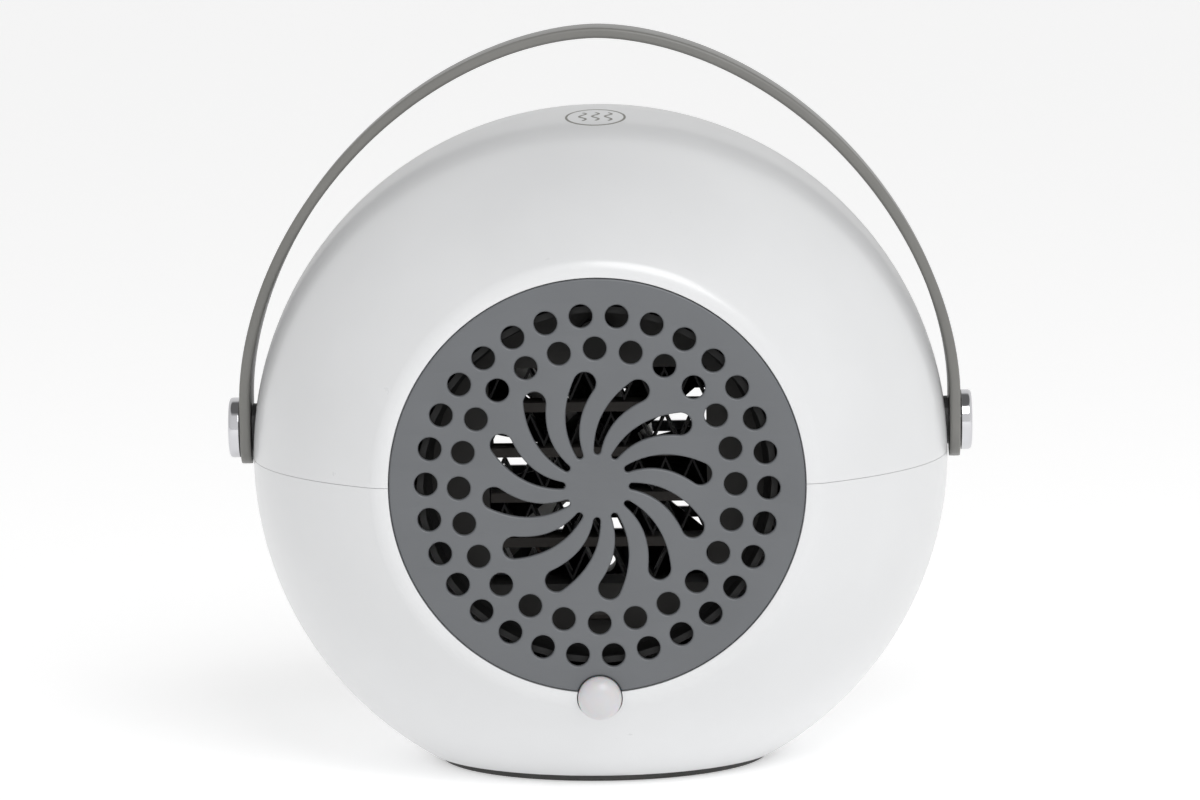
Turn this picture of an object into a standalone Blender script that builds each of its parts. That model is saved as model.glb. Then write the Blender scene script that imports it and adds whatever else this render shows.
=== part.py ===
"""Ball-shaped ceramic fan heater with a bail handle, as an assembly of separate pieces.

Units are metres, +Z is up and the air outlet faces -Y. The row's origin is on the table, under the
middle of the heater's outline. Every piece hangs from one empty at the centre of the ball, so the
places below are measured from there: x to the right, y towards the back and z up.
"""

import math

import bmesh
import bpy
from mathutils import Matrix, Vector

# ---- Driving dimensions ---------------------------------------------------------------------
GAP = 0.0003  # between pieces that touch
RUN = 0.0003  # round a shaft that turns or slides

# Casing: a hollow ball in two halves, cut flat at the front, the back and the bottom
BALL_RADIUS = 0.115
WALL = 0.0025
FACE_FILLET = 0.008  # rounds the ball over into the flat front and back faces
FACE_RING = 0.0006  # flat ring left between the fillet and a grille's opening
FLOOR_THICKNESS = 0.0025
FLOOR_CUT = 0.0160  # height of the slice taken off the ball's bottom
FLOOR_MARGIN = 0.0040  # flat floor outside the base pad
LEDGE_THICKNESS = 0.0025  # the ring that each grille seats on
LEDGE_WIDTH = 0.0053
LIP_HEIGHT = 0.0025  # tongue of the lower half, inside the upper half
LIP_THICKNESS = 0.0018
LIP_ROOT = 0.0050

# Grilles
GRILLE_RADIUS = 0.0663
GRILLE_THICKNESS = 0.0028
GRILLE_INSET = 0.0002  # below the flat face round it
VENT_HOLE_RADIUS = 0.0037
VENT_RIM = 0.0118  # outer ring of holes to the grille's edge
VENT_RING_PITCH = 0.0105
OUTER_HOLES, OUTER_START = 30, math.radians(-1.2)
INNER_HOLES, INNER_START = 24, math.radians(0.3)
SWIRL_SLOTS = 12
SWIRL_INSET = 0.0109  # end of a slot's centre line, inside the inner ring of holes
SWIRL_START, SWIRL_START_RADIUS = math.radians(28.9), 0.0112
SWIRL_MIDDLE, SWIRL_END = math.radians(19.3), math.radians(6.2)
SWIRL_NARROW, SWIRL_WIDE = 0.0011, 0.0036  # half widths at the two ends of a slot
HOOKS = 4
HOOK_WIDTH, HOOK_THICKNESS, HOOK_BARB = 0.0080, 0.0016, 0.0013
INTAKE_SLOTS, INTAKE_PITCH, INTAKE_HALF_HEIGHT = 8, 0.0075, 0.0019
INTAKE_LOW = -0.0365
INTAKE_RIM = 0.0163  # ends of the intake slots to the cover's edge

# Power light
LENS_RADIUS = 0.0070
LENS_OVERHANG = 0.0019  # its centre, outside the grille's edge
LENS_CROWN = 0.0045
LENS_WALL = 0.0012
LENS_FLANGE, LENS_FLANGE_WIDTH = 0.0016, 0.0016
BOARD_THICKNESS = 0.0016
LED_RADIUS, LED_HEIGHT = 0.0025, 0.0056

# Handle: a flat strap bent to a superellipse
PIVOT_RISE = 0.0091  # above the ball's centre
HAND_ROOM = 0.0226  # between the ball's top and the strap
STRAP_THICKNESS, STRAP_WIDTH = 0.0035, 0.0240
STRAP_CLEARANCE = 0.0005  # between the strap and the widest part of the ball
STRAP_SQUARENESS = 1.82
STUD_RADIUS = 0.0030
CAP_RADIUS, CAP_THICKNESS, CAP_ROUND = 0.0100, 0.0040, 0.0013
WASHER_RADIUS = 0.0080
SPOT_FACE_DEPTH = 0.0015
BOSS_RADIUS, BOSS_DEPTH = 0.0060, 0.0065
NUT_RADIUS, NUT_THICKNESS = 0.0052, 0.0036

# Base and tip-over switch
PAD_WIDTH, PAD_THICKNESS = 0.0115, 0.0025
PLUNGER_SETBACK = 0.0200  # behind the duct's back flange
PLUNGER_RADIUS, PLUNGER_TRAVEL = 0.0030, 0.0050
PLUNGER_FOOT_RADIUS = 0.0050
PLUNGER_FLANGE_RADIUS, PLUNGER_FLANGE = 0.0065, 0.0016
SPRING_LENGTH = 0.0131
SPRING_RADIUS, SPRING_WIRE, SPRING_TURNS = 0.0043, 0.0004, 5
SWITCH_SIZE = (0.0220, 0.0064, 0.0102)
SMALL_POST_RADIUS = 0.0020

# Air duct, with the fan behind the heating element
DUCT_MARGIN = 0.0088  # outside of the duct to the grille's edge
DUCT_WALL = 0.0020
DUCT_STEP = 0.0020  # inner ring that the heater frame rests against
DUCT_FLANGE_WIDTH, DUCT_BACK = 0.0050, 0.0020
OUTLET_SPACE = 0.0232  # grille to heating element
FOOT_SETBACK, FOOT_INSET = 0.0274, 0.0180  # front feet to the duct's front, back feet to its back
FOOT_THICKNESS, FOOT_DEPTH, FOOT_RIB = 0.0025, 0.0120, 0.0050
FOOT_LEG = 0.0065  # below the duct
FOOT_SCREW_X = 0.0280
POST_RADIUS, PILOT_RADIUS = 0.0042, 0.0013
SCREW_RADIUS, SCREW_HEAD_RADIUS, SCREW_HEAD, SCREW_LENGTH = 0.0010, 0.0029, 0.0019, 0.0100

# Heating element
ELEMENT_WALL, ELEMENT_DEPTH = 0.0030, 0.0200
ELEMENT_CORNER = 0.0014  # its corners to the inside of the duct
ELEMENT_PLATE = 0.0025
BAR_HEIGHT, BAR_DEPTH = 0.0030, 0.0140
CERAMIC_BARS = 4
FIN_DEPTH, FIN_SHEET, FIN_FOLDS = 0.0125, 0.0006, 16
TAB_SIZE = (0.0008, 0.0090, 0.0063)
CUTOUT_RADIUS, CUTOUT_HEIGHT = 0.0065, 0.0060
FUSE_RADIUS, FUSE_LENGTH = 0.0019, 0.0120

# Fan and motor
FAN_SETBACK, FAN_DEPTH, FAN_TIP = 0.0205, 0.0200, 0.0030  # behind the element, along, to the duct
FAN_HUB_RADIUS, FAN_BLADES = 0.0150, 7
BLADE_THICKNESS, BLADE_SWEEP = 0.0016, math.radians(34)
SHAFT_RADIUS = 0.0016
MOUNT_THICKNESS, MOUNT_ARM, MOUNT_HUB_RADIUS = 0.0025, 0.0080, 0.0180
MOUNT_BOSS_RADIUS, MOUNT_PIN_RADIUS = 0.0050, 0.0012
MOTOR_RADIUS, MOTOR_LENGTH = 0.0175, 0.0320

# Controls on the back cover
KNOB_X, KNOB_RISE = 0.0240, 0.0340
KNOB_RADIUS, KNOB_GRIP_RADIUS, KNOB_HEIGHT = 0.0125, 0.0098, 0.0130
KNOB_TOP = 0.0040  # solid top over the shaft's socket
CONTROL_SHAFT_RADIUS = 0.0030
CONTROL_NECK_RADIUS, CONTROL_NECK = 0.0048, 0.0035
CONTROL_DEPTH = 0.0225
SELECTOR_SIDE, THERMOSTAT_RADIUS = 0.0230, 0.0120
GLAND_DROP, GLAND_RADIUS, GLAND_BORE = 0.0490, 0.0058, 0.0036
GLAND_FLANGE_RADIUS, GLAND_BARB, GLAND_END = 0.0085, 0.0008, 0.0065
COVER_SCREW_LENGTH = 0.0120
BLOCK_SIZE, BLOCK_SETBACK, BLOCK_POST = (0.0360, 0.0160, 0.0130), 0.0280, 0.0067
WIRE_RADIUS = 0.0012

# Smoothness of round shapes
BIG_STEPS, ROUND_STEPS, HOLE_STEPS = 32, 20, 8
BALL_ARC_STEPS, FILLET_STEPS = 8, 2

# ---- Places worked out from them ------------------------------------------------------------
FLATS = math.cos(math.pi / BIG_STEPS)  # how far in the flats of a big round shape lie, as a share
INNER_RADIUS = BALL_RADIUS - WALL
OPENING_RADIUS = (GRILLE_RADIUS + GAP) / FLATS
FILLET_RING = OPENING_RADIUS + FACE_RING  # where the fillet meets the flat face
FACE_REACH = FACE_FILLET + math.sqrt((BALL_RADIUS - FACE_FILLET) ** 2 - FILLET_RING**2)
GRILLE_FACE = FACE_REACH - GRILLE_INSET
GRILLE_BACK = GRILLE_FACE - GRILLE_THICKNESS
LEDGE_FACE = GRILLE_BACK - GAP
LEDGE_BACK = LEDGE_FACE - LEDGE_THICKNESS
FRONT_LEDGE_RADIUS = GRILLE_RADIUS - LEDGE_WIDTH
COVER_SCREW_RING = FRONT_LEDGE_RADIUS
BACK_LEDGE_RADIUS = COVER_SCREW_RING - POST_RADIUS - GAP
BALL_ARC_STEP = (math.pi - 2 * math.acos(FACE_REACH / BALL_RADIUS)) / BALL_ARC_STEPS
FACET_DIP = INNER_RADIUS * (1 - math.cos(BALL_ARC_STEP / 2))  # of the ball's flats inside a true ball
FLOOR_DROP = BALL_RADIUS - FLOOR_CUT
PAD_RADIUS = math.sqrt(BALL_RADIUS**2 - FLOOR_DROP**2) - FLOOR_MARGIN
FLOOR_TOP = -FLOOR_DROP + FLOOR_THICKNESS
BALL_HEIGHT = FLOOR_DROP + PAD_THICKNESS

OUTER_RING = GRILLE_RADIUS - VENT_RIM
INNER_RING = OUTER_RING - VENT_RING_PITCH
SWIRL_END_RADIUS = INNER_RING - SWIRL_INSET
SWIRL_MIDDLE_RADIUS = (SWIRL_START_RADIUS + SWIRL_END_RADIUS) / 2
INTAKE_REACH = GRILLE_RADIUS - INTAKE_RIM

LENS_DROP = GRILLE_RADIUS + LENS_OVERHANG
LENS_FLANGE_RADIUS = LENS_RADIUS + LENS_FLANGE_WIDTH
LENS_SEAT = math.sqrt((INNER_RADIUS - FACET_DIP) ** 2 - (LENS_DROP + LENS_FLANGE_RADIUS) ** 2)
LENS_LENGTH = FACE_REACH - min(LENS_SEAT, LEDGE_BACK) + GAP

STRAP_INNER_X = BALL_RADIUS + STRAP_CLEARANCE
STRAP_OUTER_X = STRAP_INNER_X + STRAP_THICKNESS
STRAP_TOP = BALL_RADIUS - PIVOT_RISE + HAND_ROOM + STRAP_THICKNESS  # its outer face above the pivots
STRAP_STRAIGHT = WASHER_RADIUS + 0.002  # of the strap that stays upright beside the washer
SPOT_FACE_X = BALL_RADIUS - SPOT_FACE_DEPTH
BOSS_INNER_X = BALL_RADIUS - BOSS_DEPTH
WASHER_X = SPOT_FACE_X + GAP
WASHER_THICKNESS = STRAP_INNER_X - GAP - WASHER_X

DUCT_RADIUS = GRILLE_RADIUS - DUCT_MARGIN
DUCT_BORE = DUCT_RADIUS - DUCT_WALL
DUCT_FLANGE_RADIUS = DUCT_RADIUS + DUCT_FLANGE_WIDTH
ELEMENT_FRONT = OUTLET_SPACE - GRILLE_BACK
ELEMENT_SQUARE = math.sqrt(2) * (DUCT_BORE - GAP - ELEMENT_CORNER)
ELEMENT_WINDOW = ELEMENT_SQUARE - 2 * ELEMENT_WALL
ELEMENT_BACK = ELEMENT_FRONT + ELEMENT_PLATE / 2 + ELEMENT_DEPTH
BAR_LENGTH = ELEMENT_WINDOW - 2 * GAP
FIN_HEIGHT = (ELEMENT_WINDOW - CERAMIC_BARS * (BAR_HEIGHT + 2 * GAP) - 2 * GAP) / (CERAMIC_BARS + 1)
CUTOUT_RISE = ELEMENT_SQUARE / 2 + CUTOUT_RADIUS
TAB_X = ELEMENT_SQUARE / 2 - ELEMENT_WALL / 2
TAB_Y = ELEMENT_BACK + GAP + TAB_SIZE[1] / 2
FAN_FRONT = ELEMENT_BACK + FAN_SETBACK
FAN_BACK = FAN_FRONT + FAN_DEPTH
FAN_RADIUS = DUCT_BORE * FLATS - FAN_TIP
DUCT_END = FAN_BACK + FAN_TIP
MOUNT_Y = DUCT_END + DUCT_BACK + GAP
MOTOR_Y = MOUNT_Y + MOUNT_THICKNESS + GAP
MOTOR_END = MOTOR_Y + MOTOR_LENGTH
MOUNT_PIN_RING = (DUCT_RADIUS + DUCT_FLANGE_RADIUS) / 2
FOOT_DROP = DUCT_RADIUS + FOOT_LEG
FOOT_YS = (FOOT_SETBACK - GRILLE_BACK, DUCT_END - FOOT_INSET)

PLUNGER_Y = DUCT_END + PLUNGER_SETBACK
PLUNGER_SEAT = BALL_HEIGHT + FLOOR_TOP + PLUNGER_TRAVEL + GAP  # its flange, above the table
PLUNGER_LENGTH = PLUNGER_SEAT + PLUNGER_FLANGE + SPRING_LENGTH
SWITCH_LOW = PLUNGER_LENGTH + GAP - BALL_HEIGHT
CONTROL_BACK = GRILLE_BACK - CONTROL_NECK
CONTROL_FRONT = CONTROL_BACK - CONTROL_DEPTH
BLOCK_Y = GRILLE_BACK - BLOCK_SETBACK
BLOCK_CORNER = math.hypot(BLOCK_Y + BLOCK_SIZE[1] / 2, BLOCK_SIZE[0] / 2)
BLOCK_LOW = BLOCK_POST - math.sqrt((INNER_RADIUS - FACET_DIP) ** 2 - BLOCK_CORNER**2)
BLOCK_Z = BLOCK_LOW + BLOCK_SIZE[2] / 2
LENS_TIP = FACE_REACH + LENS_CROWN
KNOB_TIP = FACE_REACH + GAP + KNOB_HEIGHT
BALL_Y = (LENS_TIP - KNOB_TIP) / 2  # centres the heater's outline on the origin
FRONT, BACK = Vector((0, -1, 0)), Vector((0, 1, 0))
RIGHT, LEFT = Vector((1, 0, 0)), Vector((-1, 0, 0))
UP = Vector((0, 0, 1))


# ---- Modelling helpers ----------------------------------------------------------------------
def clear_scene():
    for old in list(bpy.data.objects):
        bpy.data.objects.remove(old)


def finish(name, colour, roughness, metallic=0.0):
    """A plain material in one colour."""
    made = bpy.data.materials.new(name)
    made.use_nodes = True
    shader = made.node_tree.nodes["Principled BSDF"]
    shader.inputs["Base Color"].default_value = (*colour, 1)
    shader.inputs["Roughness"].default_value = roughness
    shader.inputs["Metallic"].default_value = metallic
    made.diffuse_color = (*colour, 1)
    return made


def place(name, mesh, material, at=(0, 0, 0), aim=UP, parent=None):
    """A piece whose local +Z points along aim, with its origin at a place in the ball."""
    made = bpy.data.objects.new(name, mesh)
    bpy.context.scene.collection.objects.link(made)
    made.location = at
    made.rotation_mode = "QUATERNION"
    made.rotation_quaternion = aim_turn(aim)
    made.parent = parent or ball
    if material:
        mesh.materials.append(material)
    for face in mesh.polygons:
        face.use_smooth = True
    mesh.set_sharp_from_angle(angle=math.radians(35))
    return made


def aim_turn(aim):
    """Turns local +Z to aim. Facing the front or the back, local +Y stays up."""
    aim = Vector(aim)
    side = aim.cross(UP) if abs(aim.z) > 0.9 else UP.cross(aim)
    side = side.normalized() if side.length > 1e-6 else RIGHT
    return Matrix((side, aim.cross(side), aim)).transposed().to_quaternion()


def mesh_from(bm, name):
    bmesh.ops.remove_doubles(bm, verts=bm.verts, dist=1e-7)
    bmesh.ops.recalc_face_normals(bm, faces=bm.faces)
    mesh = bpy.data.meshes.new(name)
    bm.to_mesh(mesh)
    bm.free()
    return mesh


def turned(profile, steps=ROUND_STEPS, start=0.0, sweep=math.tau):
    """A closed profile of (radius, height) points, spun about local Z."""
    bm = bmesh.new()
    ring = [bm.verts.new((r * math.cos(start), r * math.sin(start), h)) for r, h in profile]
    edges = [bm.edges.new((a, b)) for a, b in zip(ring, ring[1:] + ring[:1])]
    bmesh.ops.spin(bm, geom=ring + edges, cent=(0, 0, 0), axis=(0, 0, 1), angle=sweep, steps=steps)
    bmesh.ops.remove_doubles(bm, verts=bm.verts, dist=1e-7)
    open_edges = [edge for edge in bm.edges if edge.is_boundary]
    if open_edges:
        bmesh.ops.holes_fill(bm, edges=open_edges, sides=0)
    return mesh_from(bm, "turned")


def arc(centre, radius, start, end, steps):
    """Points from angle start to angle end, both included."""
    turns = [start + (end - start) * i / steps for i in range(steps + 1)]
    return [(centre[0] + radius * math.cos(t), centre[1] + radius * math.sin(t)) for t in turns]


def circle(radius, steps=ROUND_STEPS, centre=(0, 0), start=0.0):
    return arc(centre, radius, start, start + math.tau * (steps - 1) / steps, steps - 1)


def hole(radius, centre=(0, 0), steps=HOLE_STEPS):
    """A circle whose flats, not its corners, lie at the radius, so that a round piece fits in it."""
    return circle(radius / math.cos(math.pi / steps), steps, centre)


def rectangle(width, height, centre=(0, 0)):
    x, y = width / 2, height / 2
    return [(centre[0] + a, centre[1] + b) for a, b in ((-x, -y), (x, -y), (x, y), (-x, y))]


def plate(loops, thickness):
    """A flat plate from z 0 to thickness: the first loop is its outline, the others are holes."""
    curve = bpy.data.curves.new("outline", "CURVE")
    curve.dimensions, curve.fill_mode = "2D", "BOTH"
    curve.extrude = thickness / 2
    for loop in loops:
        spline = curve.splines.new("POLY")
        spline.points.add(len(loop) - 1)
        for point, (x, y) in zip(spline.points, loop):
            point.co = (x, y, 0, 1)
        spline.use_cyclic_u = True
    holder = bpy.data.objects.new("outline", curve)
    bpy.context.scene.collection.objects.link(holder)
    bpy.context.view_layer.update()
    flat = bpy.data.meshes.new_from_object(holder.evaluated_get(bpy.context.evaluated_depsgraph_get()))
    bpy.data.objects.remove(holder)
    bm = bmesh.new()
    bm.from_mesh(flat)
    bmesh.ops.translate(bm, verts=bm.verts, vec=(0, 0, thickness / 2))
    return mesh_from(bm, "plate")


def block(size, centre=(0, 0, 0)):
    bm = bmesh.new()
    bmesh.ops.create_cube(bm, size=1.0)
    bmesh.ops.scale(bm, verts=bm.verts, vec=size)
    bmesh.ops.translate(bm, verts=bm.verts, vec=centre)
    return mesh_from(bm, "block")


def rod(radius, low, high, steps=ROUND_STEPS):
    """A round bar along local Z."""
    return turned([(0, low), (radius, low), (radius, high), (0, high)], steps)


def drill(radius, low, high, steps=HOLE_STEPS):
    """A cutter along local Z for a hole whose flats lie at the radius."""
    return rod(radius / math.cos(math.pi / steps), low, high, steps)


def tube_mesh(points, radius, resolution=0):
    """A round tube through the points, with its ends closed."""
    curve = bpy.data.curves.new("tube", "CURVE")
    curve.dimensions, curve.bevel_depth, curve.bevel_resolution = "3D", radius, resolution
    curve.use_fill_caps = True
    spline = curve.splines.new("POLY")
    spline.points.add(len(points) - 1)
    for point, spot in zip(spline.points, points):
        point.co = (*spot, 1)
    return curve


def helper(mesh, at=(0, 0, 0), aim=UP, parent=None):
    """A shape that is only cut from a piece, or joined to it."""
    made = place("helper", mesh, None, at, aim, parent)
    made.hide_render = True
    made.display_type = "WIRE"
    return made


def combine(piece, operation, *helpers):
    for other in helpers:
        step = piece.modifiers.new(operation.lower(), "BOOLEAN")
        step.operation, step.solver, step.object = operation, "EXACT", other


def join(piece, *helpers):
    combine(piece, "UNION", *helpers)


def cut(piece, *helpers):
    combine(piece, "DIFFERENCE", *helpers)


# ---- Casing ---------------------------------------------------------------------------------
def ball_profile():
    """Cross-section of the casing wall, as (radius, distance in front of the ball's centre)."""
    round_reach = FACE_REACH - FACE_FILLET
    lean = math.atan2(FILLET_RING, round_reach)

    def face(side, ledge_radius):
        """From the outer wall round the fillet and the opening's wall to the back of the ledge."""
        rounding = arc((0, 0), FACE_FILLET, lean, 0, FILLET_STEPS)
        points = [(FILLET_RING + y, side * (round_reach + x)) for x, y in rounding]
        points += [(OPENING_RADIUS, side * FACE_REACH), (OPENING_RADIUS, side * LEDGE_FACE)]
        points += [(ledge_radius, side * LEDGE_FACE), (ledge_radius, side * LEDGE_BACK)]
        return points

    def wall(radius, end, steps):
        """Along the ball from the front to the back, without its two ends."""
        points = arc((0, 0), radius, end, math.pi - end, steps)
        return [(y, x) for x, y in points]

    outer = wall(BALL_RADIUS, lean, BALL_ARC_STEPS)[1:-1]
    inner = wall(INNER_RADIUS, math.acos(LEDGE_BACK / INNER_RADIUS), BALL_ARC_STEPS)
    front = face(1, FRONT_LEDGE_RADIUS)
    back = face(-1, BACK_LEDGE_RADIUS)
    return front[::-1] + outer + back + inner[::-1]


def half_shell(name, side):
    """Half of the casing, spun through half a turn about the front-to-back axis."""
    half = turned(ball_profile(), BIG_STEPS // 2, 0.0 if side > 0 else math.pi, math.pi)
    made = place(name, half, white, aim=FRONT)
    waste = 2 * BALL_RADIUS
    cut(made, helper(block((2 * waste, 2 * waste, waste), (0, 0, side * (GAP - waste) / 2))))
    return made


def room_inside():
    """A solid that ends a quarter of the way into the casing's wall and floor, for trimming posts to them."""
    radius = INNER_RADIUS + WALL / 4
    low = FLOOR_TOP - FLOOR_THICKNESS / 4
    outline = [(0, low)] + arc((0, 0), radius, math.asin(low / radius), math.pi / 2, 20)
    outline[-1] = (0, radius)
    return helper(turned(outline, BIG_STEPS))


def join_post(shell, post):
    """Joins a post, trimmed to where it meets the wall or the floor."""
    combine(post, "INTERSECT", room)
    join(shell, post)


def make_upper_shell():
    shell = half_shell("upper_shell", 1)
    pivot = (0, 0, PIVOT_RISE)
    for aim in (RIGHT, LEFT):
        join_post(shell, helper(rod(BOSS_RADIUS, BOSS_INNER_X, BALL_RADIUS), pivot, aim))
        outside = BALL_RADIUS + WALL
        cut(shell, helper(drill(WASHER_RADIUS + GAP, SPOT_FACE_X, outside, ROUND_STEPS), pivot, aim))
        cut(shell, helper(drill(STUD_RADIUS + RUN, BOSS_INNER_X - WALL, outside), pivot, aim))
    add_cover_bosses(shell, 1)


def make_lower_shell():
    shell = half_shell("lower_shell", -1)
    waste = 2 * BALL_RADIUS
    cut(shell, helper(block((waste, waste, waste), (0, 0, -FLOOR_DROP - waste / 2))))
    low_rim, high_rim = (math.sqrt((BALL_RADIUS - WALL / 2) ** 2 - z**2) for z in (FLOOR_DROP, FLOOR_TOP))
    profile = [(0, -FLOOR_DROP), (low_rim, -FLOOR_DROP), (high_rim, FLOOR_TOP), (0, FLOOR_TOP)]
    floor = turned(profile, BIG_STEPS)
    join(shell, helper(floor))
    for side in (0, math.pi):
        join(shell, helper(seam_lip(side)))
    top = -FOOT_DROP - GAP
    for x in (-FOOT_SCREW_X, FOOT_SCREW_X):
        for y in FOOT_YS:
            join_post(shell, helper(rod(POST_RADIUS, -BALL_RADIUS, top, HOLE_STEPS), (x, y, 0)))
            cut(shell, helper(drill(PILOT_RADIUS, top - SCREW_LENGTH, top + WALL), (x, y, 0)))
    small_posts = [(SWITCH_SIZE[0] / 2 - SMALL_POST_RADIUS, PLUNGER_Y, SWITCH_LOW - GAP)]
    small_posts.append((BLOCK_SIZE[0] / 3, BLOCK_Y, BLOCK_LOW - GAP))
    for x, y, top in small_posts:
        for post_x in (-x, x):
            join_post(shell, helper(rod(SMALL_POST_RADIUS, -BALL_RADIUS, top, HOLE_STEPS), (post_x, y, 0)))
    add_cover_bosses(shell, -1)
    lens_hole = drill(LENS_RADIUS + GAP, LENS_TIP - LENS_LENGTH - LENS_CROWN, LENS_TIP, ROUND_STEPS)
    cut(shell, helper(lens_hole, (0, 0, -LENS_DROP), FRONT))
    plunger_hole = drill(PLUNGER_FOOT_RADIUS + RUN, -BALL_HEIGHT, FLOOR_TOP + WALL, ROUND_STEPS)
    cut(shell, helper(plunger_hole, (0, PLUNGER_Y, 0)))


def seam_lip(middle):
    """Tongue along one side of the seam, on the inside of the wall."""
    inside = math.sqrt((INNER_RADIUS - FACET_DIP) ** 2 - LIP_HEIGHT**2) - GAP
    wall = BALL_RADIUS - WALL / 2
    profile = [(inside - LIP_THICKNESS, -LIP_ROOT), (wall, -LIP_ROOT), (wall, -2 * GAP),
               (inside, -GAP), (inside, LIP_HEIGHT), (inside - LIP_THICKNESS, LIP_HEIGHT)]
    half_angle = math.radians(40)
    return turned(profile, BIG_STEPS // 4, middle - half_angle, 2 * half_angle)


def cover_screw_places():
    diagonal = COVER_SCREW_RING / math.sqrt(2)
    return [(x, z) for z in (diagonal, -diagonal) for x in (-diagonal, diagonal)]


def add_cover_bosses(shell, side):
    """Bosses behind the back ledge, which take the cover's screws."""
    for x, z in cover_screw_places():
        if z * side > 0:
            join(shell, helper(rod(POST_RADIUS, LEDGE_BACK - COVER_SCREW_LENGTH, LEDGE_FACE - WALL / 2,
                                   HOLE_STEPS), (x, 0, z), BACK))
            pilot = drill(PILOT_RADIUS, LEDGE_BACK - COVER_SCREW_LENGTH + WALL / 2, FACE_REACH)
            cut(shell, helper(pilot, (x, 0, z), BACK))


# ---- Grilles --------------------------------------------------------------------------------
def ring_of_holes(count, ring, start):
    turns = [start + math.tau * i / count for i in range(count)]
    return [circle(VENT_HOLE_RADIUS, HOLE_STEPS, (ring * math.cos(t), ring * math.sin(t)), t) for t in turns]


def swirl_slot(turn):
    """Outline of one curved slot, which widens from the hub outwards."""
    radii = (SWIRL_START_RADIUS, SWIRL_MIDDLE_RADIUS, SWIRL_END_RADIUS)
    angles = (turn + SWIRL_START, turn + SWIRL_MIDDLE, turn + SWIRL_END)
    a, b, c = (Vector((r * math.cos(t), r * math.sin(t))) for r, t in zip(radii, angles))
    steps = 4
    line = []
    for i in range(steps + 1):
        t = i / steps
        middle = 2 * b - (a + c) / 2  # the quadratic curve that passes through b half way along
        point = (1 - t) ** 2 * a + 2 * t * (1 - t) * middle + t**2 * c
        along = 2 * (1 - t) * (middle - a) + 2 * t * (c - middle)
        line.append((point, along.normalized(), SWIRL_NARROW + (SWIRL_WIDE - SWIRL_NARROW) * t))

    def cap(point, along, half, start, cap_steps):
        heading = math.atan2(along.y, along.x)
        return arc(point, half, heading + start, heading + start + math.pi, cap_steps)

    near, far = line[0], line[-1]
    right = [p + half * Vector((d.y, -d.x)) for p, d, half in line[1:-1]]
    left = [p - half * Vector((d.y, -d.x)) for p, d, half in line[1:-1]]
    points = cap(*near, math.pi / 2, 2) + [tuple(p) for p in right]
    return points + cap(*far, -math.pi / 2, 4) + [tuple(p) for p in left[::-1]]


def notched_circle(radius, notch_drop, notch_radius, steps):
    """A disc's outline with a round bite out of its lowest point."""
    bite = math.acos((radius**2 + notch_drop**2 - notch_radius**2) / (2 * radius * notch_drop))
    low = -math.pi / 2
    points = arc((0, 0), radius, low + bite, low - bite + math.tau, steps)
    corner_x, corner_y = points[0]
    lift = math.atan2(corner_y + notch_drop, corner_x)
    return points + arc((0, -notch_drop), notch_radius, math.pi - lift, lift, 6)[1:-1]


def make_front_grille():
    rim = notched_circle(GRILLE_RADIUS, LENS_DROP, LENS_RADIUS + GAP, BIG_STEPS)
    holes = ring_of_holes(OUTER_HOLES, OUTER_RING, OUTER_START)
    holes += ring_of_holes(INNER_HOLES, INNER_RING, INNER_START)
    holes += [swirl_slot(math.tau * i / SWIRL_SLOTS) for i in range(SWIRL_SLOTS)]
    grille = place("front_grille", plate([rim] + holes, GRILLE_THICKNESS), grey,
                   (0, -GRILLE_BACK, 0), FRONT)
    leg = FRONT_LEDGE_RADIUS * FLATS - 2 * GAP - HOOK_THICKNESS
    barb_start = GRILLE_BACK - LEDGE_BACK + 2 * GAP
    tip = barb_start + 2 * HOOK_BARB
    root = GRILLE_THICKNESS / 4
    reach = HOOK_THICKNESS + HOOK_BARB
    profile = [(0, root), (0, -tip), (HOOK_THICKNESS, -tip), (reach, -barb_start - HOOK_BARB),
               (reach, -barb_start), (HOOK_THICKNESS, -barb_start), (HOOK_THICKNESS, root)]
    for i in range(HOOKS):
        turn = math.pi / 4 + math.tau * i / HOOKS
        bm = bmesh.new()
        bm.faces.new([bm.verts.new((leg + r, -HOOK_WIDTH / 2, h)) for r, h in profile])
        grown = bmesh.ops.extrude_face_region(bm, geom=bm.faces[:])
        moved = [item for item in grown["geom"] if isinstance(item, bmesh.types.BMVert)]
        bmesh.ops.translate(bm, verts=moved, vec=(0, HOOK_WIDTH, 0))
        bmesh.ops.rotate(bm, verts=bm.verts, matrix=Matrix.Rotation(turn, 3, "Z"))
        join(grille, helper(mesh_from(bm, "hook"), (0, -GRILLE_BACK, 0), FRONT))


def intake_slot(height):
    half = math.sqrt(INTAKE_REACH**2 - height**2) - INTAKE_HALF_HEIGHT
    right = arc((half, height), INTAKE_HALF_HEIGHT, -math.pi / 2, math.pi / 2, 4)
    left = arc((-half, height), INTAKE_HALF_HEIGHT, math.pi / 2, 1.5 * math.pi, 4)
    return right + left


def make_rear_grille():
    loops = [circle(GRILLE_RADIUS, BIG_STEPS)]
    loops += [intake_slot(INTAKE_LOW + INTAKE_PITCH * i) for i in range(INTAKE_SLOTS)]
    loops += [hole(CONTROL_SHAFT_RADIUS + 2 * RUN, (x, KNOB_RISE), ROUND_STEPS) for x in (-KNOB_X, KNOB_X)]
    loops += [hole(SCREW_RADIUS + 2 * GAP, at) for at in cover_screw_places()]
    loops.append(hole(GLAND_RADIUS + GAP, (0, -GLAND_DROP), ROUND_STEPS))
    place("rear_grille", plate(loops, GRILLE_THICKNESS), grey, (0, GRILLE_BACK, 0), BACK)


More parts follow.
